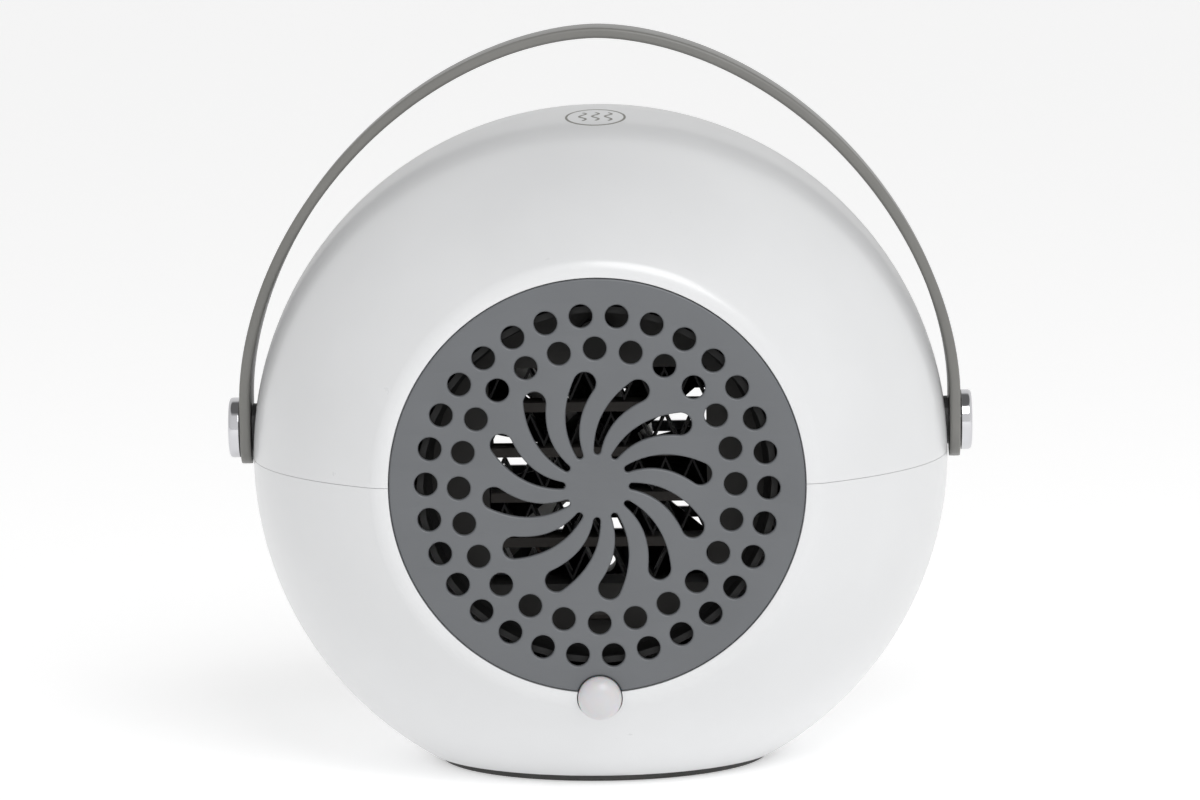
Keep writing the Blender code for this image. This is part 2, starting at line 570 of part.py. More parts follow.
# ---- Power light ----------------------------------------------------------------------------
def make_power_light():
    back = -LENS_LENGTH
    inner = LENS_RADIUS - LENS_WALL
    outside = [(LENS_RADIUS * math.cos(t), LENS_CROWN * math.sin(t))
               for t in (math.pi / 2 * i / 4 for i in range(5))]
    inside = [(inner * math.cos(t), (LENS_CROWN - LENS_WALL) * math.sin(t))
              for t in (math.pi / 2 * i / 3 for i in range(4))]
    flange = [(LENS_RADIUS, back), (LENS_FLANGE_RADIUS, back), (LENS_FLANGE_RADIUS, back - LENS_FLANGE),
              (inner, back - LENS_FLANGE)]
    place("indicator_lens", turned(outside[::-1] + flange + inside), milky,
          (0, -FACE_REACH, -LENS_DROP), FRONT)
    board_top = back - LENS_FLANGE - GAP
    place("indicator_board", rod(LENS_FLANGE_RADIUS, board_top - BOARD_THICKNESS, board_top), board_green,
          (0, -FACE_REACH, -LENS_DROP), FRONT)
    place("indicator_led", rod(LED_RADIUS, board_top + GAP, board_top + GAP + LED_HEIGHT, HOLE_STEPS), milky,
          (0, -FACE_REACH, -LENS_DROP), FRONT)


# ---- Handle ---------------------------------------------------------------------------------
def strap_line():
    """Outer face of the strap from the right pivot over the top to the left one, with normals."""
    steps = 30
    power = 2 / STRAP_SQUARENESS
    points = []
    for i in range(steps + 1):
        t = math.pi * i / steps
        c, s = math.cos(t), math.sin(t)
        x = math.copysign(abs(c) ** power, c) * STRAP_OUTER_X
        points.append(Vector((x, STRAP_STRAIGHT + s**power * (STRAP_TOP - STRAP_STRAIGHT))))
    normals = []
    for before, after in zip(points[:1] + points[:-1], points[1:] + points[-1:]):
        along = (after - before).normalized()
        normals.append(Vector((along.y, -along.x)))
    normals[0], normals[-1] = Vector((1, 0)), Vector((-1, 0))
    return points, normals


def make_handle():
    points, normals = strap_line()
    inner = [p - STRAP_THICKNESS * n for p, n in zip(points, normals)]
    half, spare = STRAP_WIDTH / 2, 0.002
    low = -half - spare
    right_end = [Vector((STRAP_INNER_X, low)), Vector((STRAP_OUTER_X, low))]
    left_end = [Vector((-STRAP_OUTER_X, low)), Vector((-STRAP_INNER_X, low))]
    outline = [*right_end, *points, *left_end, *inner[::-1]]
    pivots = bpy.data.objects.new("handle_pivots", None)
    bpy.context.scene.collection.objects.link(pivots)
    pivots.parent, pivots.location = ball, (0, 0, PIVOT_RISE)
    strap = place("handle_strap", plate([[tuple(p) for p in outline]], STRAP_WIDTH), strap_grey,
                  (0, STRAP_WIDTH / 2, 0), FRONT, pivots)
    rounding = half + 0.0001
    corners = arc((0, 0), rounding, math.pi, math.tau, 10)
    corners += [(-low, 0), (-low, low - spare), (low, low - spare), (low, 0)]
    reach = STRAP_OUTER_X + spare
    cut(strap, helper(side_cutter(corners, reach), parent=pivots))
    cut(strap, helper(drill(STUD_RADIUS + RUN, -reach, reach), aim=RIGHT, parent=pivots))


def side_cutter(outline, reach):
    """An outline in the Y-Z plane, extruded from -reach to reach along X."""
    bm = bmesh.new()
    bm.faces.new([bm.verts.new((-reach, y, z)) for y, z in outline])
    grown = bmesh.ops.extrude_face_region(bm, geom=bm.faces[:])
    moved = [item for item in grown["geom"] if isinstance(item, bmesh.types.BMVert)]
    bmesh.ops.translate(bm, verts=moved, vec=(2 * reach, 0, 0))
    return mesh_from(bm, "side_cutter")


def make_pivot(side, aim):
    """Chrome-capped stud, with a washer under the strap and a nut inside the casing."""
    at = (0, 0, PIVOT_RISE)
    under = STRAP_OUTER_X + GAP
    rounding = arc((CAP_RADIUS - CAP_ROUND, under + CAP_THICKNESS - CAP_ROUND), CAP_ROUND, 0, math.pi / 2, 3)
    stud_end = BOSS_INNER_X - GAP - NUT_THICKNESS - 0.0006
    profile = [(0, stud_end), (STUD_RADIUS, stud_end), (STUD_RADIUS, under), (CAP_RADIUS, under)]
    profile += rounding + [(0, under + CAP_THICKNESS)]
    place(f"pivot_cap_{side}", turned(profile), chrome, at, aim)
    washer = plate([circle(WASHER_RADIUS), hole(STUD_RADIUS + RUN)], WASHER_THICKNESS)
    place(f"pivot_washer_{side}", washer, dark_plastic, Vector(at) + WASHER_X * aim, aim)
    nut = plate([circle(NUT_RADIUS, 6), hole(STUD_RADIUS + RUN)], NUT_THICKNESS)
    place(f"pivot_nut_{side}", nut, steel, Vector(at) + (BOSS_INNER_X - GAP - NUT_THICKNESS) * aim, aim)


# ---- Base and tip-over switch ---------------------------------------------------------------
def make_base():
    edges = [circle(PAD_RADIUS, BIG_STEPS), circle(PAD_RADIUS - PAD_WIDTH, BIG_STEPS)]
    pad = plate(edges, PAD_THICKNESS - GAP)
    place("base_pad", pad, rubber, (0, 0, -BALL_HEIGHT))


def make_tip_over_switch():
    """A plunger that the table presses in, with its return spring and its microswitch."""
    at = (0, PLUNGER_Y, -BALL_HEIGHT)
    shoulder = PLUNGER_SEAT + PLUNGER_FLANGE
    profile = [(0, 0), (PLUNGER_RADIUS, 0), (PLUNGER_FOOT_RADIUS, PLUNGER_FLANGE),
               (PLUNGER_FOOT_RADIUS, PLUNGER_SEAT), (PLUNGER_FLANGE_RADIUS, PLUNGER_SEAT),
               (PLUNGER_FLANGE_RADIUS, shoulder), (PLUNGER_RADIUS, shoulder),
               (PLUNGER_RADIUS, PLUNGER_LENGTH), (0, PLUNGER_LENGTH)]
    place("tip_plunger", turned(profile), dark_plastic, at)
    low = shoulder + GAP + SPRING_WIRE
    high = PLUNGER_LENGTH - GAP - SPRING_WIRE
    per_turn = 8
    count = SPRING_TURNS * per_turn
    coil = []
    for i in range(count + 1):
        t = math.tau * i / per_turn
        rise = low + (high - low) * i / count
        coil.append((SPRING_RADIUS * math.cos(t), SPRING_RADIUS * math.sin(t), rise))
    spring = place_curve("tip_spring", tube_mesh(coil, SPRING_WIRE), steel)
    spring.location = at
    body = block(SWITCH_SIZE, (0, 0, SWITCH_SIZE[2] / 2))
    place("tip_switch", body, dark_plastic, (0, PLUNGER_Y, SWITCH_LOW))


def place_curve(name, curve, material):
    made = bpy.data.objects.new(name, curve)
    bpy.context.scene.collection.objects.link(made)
    curve.materials.append(material)
    made.parent = ball
    return made


# ---- Air duct -------------------------------------------------------------------------------
def make_fan_duct():
    """Round duct from the outlet grille to the fan, on four feet."""
    outer, inner = DUCT_RADIUS, DUCT_BORE
    front = GRILLE_BACK - 2 * GAP
    step = -ELEMENT_FRONT + GAP
    back = -DUCT_END - DUCT_BACK
    profile = [(inner, front), (outer, front), (outer, -DUCT_END), (DUCT_FLANGE_RADIUS, -DUCT_END),
               (DUCT_FLANGE_RADIUS, back), (inner, back), (inner, step), (inner - DUCT_STEP, step + GAP),
               (inner - DUCT_STEP, step + DUCT_STEP), (inner, step + 2 * DUCT_STEP)]
    duct = place("fan_duct", turned(profile, BIG_STEPS), dark_plastic, aim=FRONT)
    rib_x = FOOT_SCREW_X - SCREW_HEAD_RADIUS - 2 * GAP - FOOT_RIB / 2
    rib_top = -math.sqrt((outer - DUCT_WALL / 2) ** 2 - rib_x**2)
    foot_start, foot_end = rib_x - FOOT_RIB / 2, FOOT_SCREW_X + POST_RADIUS
    low = -FOOT_DROP
    foot_size = (foot_end - foot_start, FOOT_DEPTH, FOOT_THICKNESS)
    for side in (-1, 1):
        for y in FOOT_YS:
            rib = block((FOOT_RIB, FOOT_DEPTH, rib_top - low), (side * rib_x, y, (rib_top + low) / 2))
            join(duct, helper(rib))
            foot_x = side * (foot_start + foot_end) / 2
            join(duct, helper(block(foot_size, (foot_x, y, low + FOOT_THICKNESS / 2))))
            screw_hole = drill(SCREW_RADIUS + 2 * GAP, low - 0.001, low + FOOT_THICKNESS + 0.001)
            cut(duct, helper(screw_hole, (side * FOOT_SCREW_X, y, 0)))
    cut(duct, helper(drill(WIRE_RADIUS + 2 * GAP, -2 * outer, 2 * outer), (0, TAB_Y, 0), RIGHT))
    for x, z in mount_pin_places():
        pin = rod(MOUNT_PIN_RADIUS, DUCT_END + DUCT_BACK / 2, MOTOR_Y + MOUNT_PIN_RADIUS, HOLE_STEPS)
        join(duct, helper(pin, (x, 0, z), BACK))


def mount_pin_places():
    """Pins on the duct's back flange that the motor mount is staked to."""
    diagonal = MOUNT_PIN_RING / math.sqrt(2)
    return [(x, z) for x in (-diagonal, diagonal) for z in (-diagonal, diagonal)]


def screw_mesh(length):
    """Round-headed screw with its head's underside at z 0 and its thread below."""
    head = [(0, -length), (SCREW_RADIUS, -length), (SCREW_RADIUS, 0), (SCREW_HEAD_RADIUS, 0),
            (SCREW_HEAD_RADIUS, 0.6 * SCREW_HEAD), (0.6 * SCREW_HEAD_RADIUS, SCREW_HEAD), (0, SCREW_HEAD)]
    return turned(head, HOLE_STEPS)


def make_screws():
    number = 0
    for y in FOOT_YS:
        for x in (-FOOT_SCREW_X, FOOT_SCREW_X):
            number += 1
            top = -FOOT_DROP + FOOT_THICKNESS + GAP
            place(f"duct_screw_{number}", screw_mesh(SCREW_LENGTH), steel, (x, y, top))
    for number, (x, z) in enumerate(cover_screw_places(), 1):
        place(f"cover_screw_{number}", screw_mesh(COVER_SCREW_LENGTH), steel, (x, GRILLE_FACE + GAP, z), BACK)


# ---- Heating element ------------------------------------------------------------------------
def make_heater():
    """Ceramic bars between folded aluminium fins, in a plastic frame that fills the duct."""
    window = rectangle(ELEMENT_WINDOW, ELEMENT_WINDOW)
    disc = plate([circle(DUCT_BORE - GAP, BIG_STEPS), window], ELEMENT_PLATE)
    frame = place("heater_frame", disc, heat_plastic, (0, ELEMENT_FRONT + ELEMENT_PLATE, 0), FRONT)
    sleeve = plate([rectangle(ELEMENT_SQUARE, ELEMENT_SQUARE), window], ELEMENT_DEPTH)
    join(frame, helper(sleeve, (0, ELEMENT_BACK, 0), FRONT))
    middle_y = ELEMENT_FRONT + ELEMENT_DEPTH / 2
    pitch = BAR_HEIGHT + FIN_HEIGHT + 2 * GAP
    for i in range(CERAMIC_BARS):
        z = pitch * (i - (CERAMIC_BARS - 1) / 2)
        place(f"ceramic_bar_{i + 1}", block((BAR_LENGTH, BAR_DEPTH, BAR_HEIGHT)), ceramic, (0, middle_y, z))
    for i in range(CERAMIC_BARS + 1):
        z = pitch * (i - CERAMIC_BARS / 2)
        place(f"fin_bank_{i + 1}", plate([fin_outline()], FIN_DEPTH), aluminium,
              (0, middle_y + FIN_DEPTH / 2, z), FRONT)
    for side, x in (("left", -TAB_X), ("right", TAB_X)):
        place(f"heater_tab_{side}", block(TAB_SIZE), steel, (x, TAB_Y, 0))
    cutout = rod(CUTOUT_RADIUS, GAP, GAP + CUTOUT_HEIGHT)
    place("thermal_cutout", cutout, steel, (0, ELEMENT_FRONT, CUTOUT_RISE), FRONT)
    fuse = rod(FUSE_RADIUS, -FUSE_LENGTH / 2, FUSE_LENGTH / 2, HOLE_STEPS)
    place("thermal_fuse", fuse, ceramic, (0, ELEMENT_FRONT - GAP - FUSE_RADIUS, -CUTOUT_RISE), RIGHT)


def fin_outline():
    """A sheet folded up and down between two bars."""
    step = BAR_LENGTH / FIN_FOLDS
    upright = FIN_SHEET * math.hypot(1, FIN_HEIGHT / step)  # the sheet's thickness, measured upwards
    half = (FIN_HEIGHT - upright) / 2
    folds = [(step * (i - FIN_FOLDS / 2), half if i % 2 else -half) for i in range(FIN_FOLDS + 1)]
    under = [(x, z - upright / 2) for x, z in folds]
    over = [(x, z + upright / 2) for x, z in folds]
    return under + over[::-1]


# ---- Fan and motor --------------------------------------------------------------------------
def blade_mesh():
    """One fan blade, which leads at the back and trails at the front."""
    depth = FAN_BACK - FAN_FRONT - 0.002
    middle = (FAN_FRONT + FAN_BACK) / 2
    bm = bmesh.new()
    rings = []
    for radius in (FAN_HUB_RADIUS - 0.0015, (FAN_HUB_RADIUS + FAN_RADIUS) / 2, FAN_RADIUS):
        front, back = [], []
        for i in range(4):
            t = i / 3 - 0.5
            turn = BLADE_SWEEP * t * (1 - 0.25 * (radius - FAN_HUB_RADIUS) / FAN_RADIUS)
            height = depth * (t + 0.12 * (1 - 4 * t * t))
            for side, shift in ((front, BLADE_THICKNESS / 2), (back, -BLADE_THICKNESS / 2)):
                side.append((radius * math.cos(turn), radius * math.sin(turn), -middle - height + shift))
        rings.append([bm.verts.new(co) for co in front + back[::-1]])
    edges = [[bm.edges.new((a, b)) for a, b in zip(ring, ring[1:] + ring[:1])] for ring in rings]
    for near, far in zip(edges, edges[1:]):
        bmesh.ops.bridge_loops(bm, edges=near + far)
    for ring in (rings[0], rings[-1]):
        bm.faces.new(ring)
    return mesh_from(bm, "blade")


def make_fan():
    bore = SHAFT_RADIUS + GAP
    hub = [(bore, -FAN_BACK), (FAN_HUB_RADIUS, -FAN_BACK), (FAN_HUB_RADIUS, -FAN_FRONT - 0.003),
           (FAN_HUB_RADIUS - 0.003, -FAN_FRONT), (bore, -FAN_FRONT)]
    fan = place("fan_impeller", turned(hub), dark_plastic, aim=FRONT)
    for i in range(FAN_BLADES):
        blade = helper(blade_mesh(), aim=FRONT)
        spin = Matrix.Rotation(math.tau * i / FAN_BLADES, 3, "Z").to_quaternion()
        blade.rotation_quaternion = aim_turn(FRONT) @ spin
        join(fan, blade)
    shaft = rod(SHAFT_RADIUS, -MOTOR_END - 2 * SHAFT_RADIUS, -FAN_FRONT, HOLE_STEPS)
    place("motor_shaft", shaft, steel, aim=FRONT)
    inner, outer = MOUNT_HUB_RADIUS, DUCT_BORE
    windows = []
    for i in range(4):
        lean_in, lean_out = (math.asin(MOUNT_ARM / 2 / r) for r in (inner, outer))
        start = math.pi / 4 + math.pi / 2 * i
        windows.append(arc((0, 0), inner, start + lean_in, start + math.pi / 2 - lean_in, 6)
                       + arc((0, 0), outer, start + math.pi / 2 - lean_out, start + lean_out, 8))
    pin_holes = [hole(MOUNT_PIN_RADIUS + GAP, at) for at in mount_pin_places()]
    loops = [circle(DUCT_FLANGE_RADIUS, BIG_STEPS), hole(MOUNT_BOSS_RADIUS + GAP, steps=ROUND_STEPS)]
    spider = plate(loops + windows + pin_holes, MOUNT_THICKNESS)
    place("motor_mount", spider, steel, (0, MOUNT_Y + MOUNT_THICKNESS, 0), FRONT)
    low, high = -MOTOR_END, -MOTOR_Y
    shoulder = 0.002
    body = [(bore, low), (MOTOR_RADIUS - shoulder, low), (MOTOR_RADIUS, low + shoulder),
            (MOTOR_RADIUS, high - shoulder), (MOTOR_RADIUS - shoulder, high), (MOUNT_BOSS_RADIUS, high),
            (MOUNT_BOSS_RADIUS, high + MOUNT_THICKNESS), (bore, high + MOUNT_THICKNESS)]
    place("motor_body", turned(body), steel, aim=FRONT)


# ---- Controls -------------------------------------------------------------------------------
def make_control(name, x, body):
    """A control behind the back cover, with its shaft and knob."""
    at = (x, 0, KNOB_RISE)
    neck_end = GRILLE_BACK - GAP
    bore_start = CONTROL_FRONT + 0.004
    control = place(f"{name}_body", body, dark_plastic, at, BACK)
    join(control, helper(rod(CONTROL_NECK_RADIUS, CONTROL_BACK - 0.002, neck_end), at, BACK))
    bore = drill(CONTROL_SHAFT_RADIUS + RUN, bore_start, neck_end + GAP, ROUND_STEPS)
    cut(control, helper(bore, at, BACK))
    under = FACE_REACH + GAP
    socket = KNOB_HEIGHT - KNOB_TOP
    place(f"{name}_shaft", rod(CONTROL_SHAFT_RADIUS, bore_start + GAP, under + socket - GAP), steel, at, BACK)
    inside = CONTROL_SHAFT_RADIUS + GAP
    profile = [(inside, 0), (KNOB_RADIUS, 0), (KNOB_RADIUS, 0.0020), (KNOB_GRIP_RADIUS + 0.0006, 0.0034),
               (KNOB_GRIP_RADIUS, KNOB_HEIGHT - 0.0020), (KNOB_GRIP_RADIUS - 0.0012, KNOB_HEIGHT - 0.0010),
               (0, KNOB_HEIGHT - 0.0010), (0, socket), (inside, socket)]
    knob = place(f"{name}_knob", turned(profile), white, (x, under, KNOB_RISE), BACK)
    length = KNOB_GRIP_RADIUS - 0.002
    ridge = block((0.0018, length, 0.0030), (0, length / 2, KNOB_HEIGHT - 0.0015))
    join(knob, helper(ridge, (x, under, KNOB_RISE), BACK))


def make_controls():
    depth = CONTROL_BACK - CONTROL_FRONT
    selector = block((SELECTOR_SIDE, SELECTOR_SIDE, depth), (0, 0, CONTROL_FRONT + depth / 2))
    make_control("selector", -KNOB_X, selector)
    make_control("thermostat", KNOB_X, rod(THERMOSTAT_RADIUS, CONTROL_FRONT, CONTROL_BACK))


def make_cord_inlet():
    """Bush that the mains lead passes through, and the block that its wires would end in."""
    outside = GRILLE_THICKNESS + GAP
    barb, narrow = GLAND_RADIUS + GLAND_BARB, GLAND_RADIUS - GLAND_BARB
    profile = [(GLAND_BORE, -GLAND_END), (narrow, -GLAND_END), (barb, -GLAND_END / 3), (barb, -GAP),
               (GLAND_RADIUS, -GAP), (GLAND_RADIUS, outside), (GLAND_FLANGE_RADIUS, outside),
               (GLAND_FLANGE_RADIUS, outside + 2 * GLAND_BARB), (GLAND_RADIUS, outside + 4 * GLAND_BARB),
               (narrow, outside + GLAND_END), (GLAND_BORE, outside + GLAND_END)]
    place("cord_gland", turned(profile), dark_plastic, (0, GRILLE_BACK, -GLAND_DROP), BACK)
    place("terminal_block", block(BLOCK_SIZE), white, (0, BLOCK_Y, BLOCK_Z))


def wire(name, colour, route, steps=3):
    """A wire along a smooth curve through the route's points."""
    points = [Vector(p) for p in route]
    line = []
    for i in range(len(points) - 1):
        before = points[max(i - 1, 0)]
        a, b = points[i], points[i + 1]
        after = points[min(i + 2, len(points) - 1)]
        for k in range(steps):
            t = k / steps
            line.append(0.5 * (2 * a + (b - before) * t + (2 * before - 5 * a + 4 * b - after) * t**2
                               + (3 * a - before - 3 * b + after) * t**3))
    place_curve(name, tube_mesh(line + [points[-1]], WIRE_RADIUS), colour)


def make_wiring():
    """Wires held inside the casing, from the terminal block to what they feed."""
    top = BLOCK_LOW + BLOCK_SIZE[2] + GAP + WIRE_RADIUS
    block_front = BLOCK_Y - BLOCK_SIZE[1] / 2 - 2 * GAP
    switch_top = SWITCH_LOW + SWITCH_SIZE[2] + GAP + WIRE_RADIUS
    control_y = CONTROL_FRONT - GAP - WIRE_RADIUS
    motor_end = MOTOR_END + GAP
    tab_face = TAB_X + TAB_SIZE[0] / 2 + GAP
    beside = DUCT_RADIUS + 0.0165
    wire("wire_live_in", brown_wire, [
        (-0.004, BLOCK_Y, top), (-0.020, BLOCK_Y - 0.004, -0.046), (-0.036, control_y - 0.006, -0.016),
        (-0.038, control_y - 0.006, 0.010), (-KNOB_X - 0.006, control_y, KNOB_RISE)])
    wire("wire_thermostat", brown_wire, [
        (-KNOB_X + 0.005, control_y, KNOB_RISE), (-0.008, control_y - 0.006, KNOB_RISE + 0.008),
        (0.008, control_y - 0.006, KNOB_RISE + 0.008), (KNOB_X - 0.005, control_y, KNOB_RISE)])
    wire("wire_live_motor", brown_wire, [
        (-KNOB_X, control_y, KNOB_RISE - 0.006), (-0.020, control_y - 0.006, 0.016),
        (-0.010, motor_end + 0.010, 0.006), (-0.008, motor_end, 0.005)])
    wire("wire_neutral_motor", blue_wire, [
        (0.006, BLOCK_Y, top), (0.012, BLOCK_Y - 0.004, -0.046), (0.014, motor_end + 0.014, -0.024),
        (0.010, motor_end + 0.008, -0.008), (0.008, motor_end, -0.005)])
    switch_back = PLUNGER_Y + SWITCH_SIZE[1] / 2
    between = (block_front + switch_back) / 2
    wire("wire_tip_switch", brown_wire, [
        (-0.010, block_front - WIRE_RADIUS / 2, BLOCK_Z), (-0.009, between, (BLOCK_Z + switch_top) / 2),
        (-0.006, between, switch_top + 0.003), (0.000, PLUNGER_Y, switch_top)])
    wire("wire_neutral_heater", blue_wire, [
        (-0.014, BLOCK_Y, top), (-0.034, BLOCK_Y - 0.008, -0.052), (-beside + 0.014, MOTOR_Y + 0.025, -0.034),
        (-beside, DUCT_END, -0.010), (-beside + 0.004, DUCT_END - 0.030, 0.000),
        (-DUCT_RADIUS - 0.0025, TAB_Y, 0.000), (-tab_face, TAB_Y, 0.000)])
    wire("wire_live_heater", brown_wire, [
        (KNOB_X + 0.005, control_y, KNOB_RISE - 0.004), (0.046, control_y - 0.012, 0.030),
        (beside - 0.008, MOTOR_Y + 0.015, 0.020), (beside, DUCT_END - 0.006, 0.008),
        (beside - 0.004, DUCT_END - 0.030, 0.001), (DUCT_RADIUS + 0.0025, TAB_Y, 0.000),
        (tab_face, TAB_Y, 0.000)])


clear_scene()
ball = bpy.data.objects.new("ball_centre", None)
bpy.context.scene.collection.objects.link(ball)
ball.location = (0, BALL_Y, BALL_HEIGHT)

white = finish("white_plastic", (0.86, 0.86, 0.86), 0.35)
grey = finish("grey_plastic", (0.17, 0.18, 0.19), 0.45)
strap_grey = finish("strap_plastic", (0.19, 0.19, 0.18), 0.5)
chrome = finish("chrome", (0.80, 0.80, 0.82), 0.08, 1.0)
milky = finish("milky_plastic", (0.85, 0.84, 0.86), 0.3)
rubber = finish("rubber", (0.08, 0.08, 0.08), 0.8)
dark_plastic = finish("dark_plastic", (0.04, 0.04, 0.04), 0.5)
heat_plastic = finish("heat_resistant_plastic", (0.05, 0.05, 0.05), 0.6)
ceramic = finish("ceramic", (0.75, 0.72, 0.68), 0.7)
aluminium = finish("aluminium", (0.6, 0.6, 0.6), 0.4, 1.0)
steel = finish("steel", (0.5, 0.5, 0.5), 0.35, 1.0)
board_green = finish("circuit_board", (0.03, 0.16, 0.06), 0.5)
brown_wire = finish("brown_insulation", (0.16, 0.06, 0.02), 0.5)
blue_wire = finish("blue_insulation", (0.02, 0.08, 0.35), 0.5)

room = room_inside()
make_upper_shell()
make_lower_shell()
make_front_grille()
make_rear_grille()
make_power_light()
make_handle()
make_pivot("left", LEFT)
make_pivot("right", RIGHT)
make_base()
make_tip_over_switch()
make_fan_duct()
make_screws()
make_heater()
make_fan()
make_controls()
make_cord_inlet()
make_wiring()
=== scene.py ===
import math

import bmesh
import bpy
from mathutils import Matrix, Vector


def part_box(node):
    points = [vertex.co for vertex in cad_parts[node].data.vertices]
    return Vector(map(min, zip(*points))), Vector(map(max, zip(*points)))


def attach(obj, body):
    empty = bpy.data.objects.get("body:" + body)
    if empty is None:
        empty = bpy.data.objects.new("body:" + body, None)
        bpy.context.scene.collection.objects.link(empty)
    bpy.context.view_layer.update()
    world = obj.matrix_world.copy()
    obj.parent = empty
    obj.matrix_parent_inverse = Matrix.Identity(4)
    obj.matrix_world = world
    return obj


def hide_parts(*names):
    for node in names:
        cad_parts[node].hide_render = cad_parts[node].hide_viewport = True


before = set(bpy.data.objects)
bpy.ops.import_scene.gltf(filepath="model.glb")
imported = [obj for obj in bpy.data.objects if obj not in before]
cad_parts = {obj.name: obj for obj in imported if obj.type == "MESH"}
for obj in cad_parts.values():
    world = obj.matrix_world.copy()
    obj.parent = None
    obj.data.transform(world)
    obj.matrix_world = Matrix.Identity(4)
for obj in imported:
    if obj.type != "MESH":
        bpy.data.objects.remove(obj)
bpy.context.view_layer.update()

# ---- Casing -----------------------------------------------------------------------------------
# Two injection-moulded halves in glossy white plastic, 2.5 mm thick, which meet on a tongue at the
# ball's waist. The face round each grille rolls over into the ball with an 8 mm radius.
casing_low, casing_high = (Vector(corner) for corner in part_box("upper_shell"))
seam_gap = 0.0003  # between the two built shells
seam_line = 0.00012  # between the two finished ones
ball_radius = (casing_high.x - casing_low.x) / 2
middle = Vector((0, (casing_low.y + casing_high.y) / 2, casing_low.z - seam_gap / 2))
face_reach = (casing_high.y - casing_low.y) / 2
wall = 0.0025
face_fillet = 0.008
grille_low, grille_high = (Vector(corner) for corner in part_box("front_grille"))
grille_radius = (grille_high.x - grille_low.x) / 2 + 0.0001
opening_radius = grille_radius + 0.0002
ledge_face = 0.0033  # behind the flat face
ledge_thickness, ledge_width = 0.0025, 0.0053
ledge_back = ledge_face + ledge_thickness
ledge_radius = grille_radius - ledge_width
floor_low = Vector(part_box("lower_shell")[0]).z - middle.z


def eased(corners, steps=4):
    """An outline whose corners (x, y, radius) are rounded off by their radius."""
    outline = []
    for i, (x, y, radius) in enumerate(corners):
        corner = Vector((x, y))
        if not radius:
            outline.append((x, y))
            continue
        before = (Vector(corners[i - 1][:2]) - corner).normalized() * radius
        after = (Vector(corners[(i + 1) % len(corners)][:2]) - corner).normalized() * radius
        for k in range(steps + 1):
            t = k / steps
            point = corner + (1 - t) ** 2 * before + t**2 * after
            outline.append((point.x, point.y))
    return outline


def bow(centre, radius, start, end, steps):
    """Points along a round stretch, both ends included."""
    turns = [start + (end - start) * i / steps for i in range(steps + 1)]
    return [(centre[0] + radius * math.cos(t), centre[1] + radius * math.sin(t)) for t in turns]


def lathed(outline, steps, start=0.0, sweep=math.tau):
    """A closed outline of (radius, height) turned about local Z."""
    bm = bmesh.new()
    full = abs(sweep - math.tau) < 1e-6
    count = steps if full else steps + 1
    rings = []
    for i in range(count):
        t = start + sweep * i / steps
        rings.append([bm.verts.new((r * math.cos(t), r * math.sin(t), h)) for r, h in outline])
    for i in range(steps):
        near, far = rings[i], rings[(i + 1) % count]
        for k in range(len(outline)):
            after = (k + 1) % len(outline)
            bm.faces.new((near[k], far[k], far[after], near[after]))
    if not full:
        bm.faces.new(rings[0])
        bm.faces.new(rings[-1])
    return bm


def stand(at, aim):
    """Puts a shape at a place in the ball with its local Z along aim and its local Y upwards."""
    aim = Vector(aim)
    side = Vector((1, 0, 0)) if abs(aim.z) > 0.9 else Vector((0, 0, 1)).cross(aim).normalized()
    facing = Matrix((side, aim.cross(side), aim)).transposed().to_4x4()
    return Matrix.Translation(middle + Vector(at)) @ facing


def piece(name, bm, body, material, *stands_for, at=(0, 0, 0), aim=(0, 0, 1), slot=None, sharp=32):
    """A finished piece whose local Z points along aim, placed from the ball's middle."""
    bmesh.ops.remove_doubles(bm, verts=bm.verts, dist=1e-6)
    bmesh.ops.dissolve_degenerate(bm, edges=bm.edges, dist=1e-7)
    bmesh.ops.recalc_face_normals(bm, faces=bm.faces)
    bm.transform(stand(at, aim))
    mesh = bpy.data.meshes.new(name)
    bm.to_mesh(mesh)
    bm.free()
    mesh.shade_smooth()
    mesh.set_sharp_from_angle(angle=math.radians(sharp))
    made = bpy.data.objects.new(name, mesh)
    bpy.context.scene.collection.objects.link(made)
    mesh.materials.append(material)
    if stands_for:
        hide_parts(*stands_for)
    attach(made, body)
    return made


def carve(made, operation, bm, at=(0, 0, 0), aim=(0, 0, 1)):
    """Cuts a shape from a piece, or joins one to it, for good."""
    bmesh.ops.remove_doubles(bm, verts=bm.verts, dist=1e-6)
    bmesh.ops.recalc_face_normals(bm, faces=bm.faces)
    bm.transform(stand(at, aim))
    tool_mesh = bpy.data.meshes.new("tool")
    bm.to_mesh(tool_mesh)
    bm.free()
    tool = bpy.data.objects.new("tool", tool_mesh)
    bpy.context.scene.collection.objects.link(tool)
    step = made.modifiers.new("carve", "BOOLEAN")
    step.operation, step.solver, step.object = operation, "EXACT", tool
    bpy.context.view_layer.update()
    shaped = bpy.data.meshes.new_from_object(made.evaluated_get(bpy.context.evaluated_depsgraph_get()))
    made.modifiers.remove(step)
    made.data = shaped
    shaped.shade_smooth()
    shaped.set_sharp_from_angle(angle=math.radians(32))
    bpy.data.objects.remove(tool)


def bar(size, centre=(0, 0, 0)):
    """A straight block, as a carving tool or a raised bar."""
    bm = bmesh.new()
    bmesh.ops.create_cube(bm, size=1.0)
    bmesh.ops.scale(bm, verts=bm.verts, vec=size)
    bmesh.ops.translate(bm, verts=bm.verts, vec=centre)
    return bm


def pin(radius, low, high, steps=48):
    """A plain round bar along local Z."""
    return lathed([(0, low), (radius, low), (radius, high), (0, high)], steps)


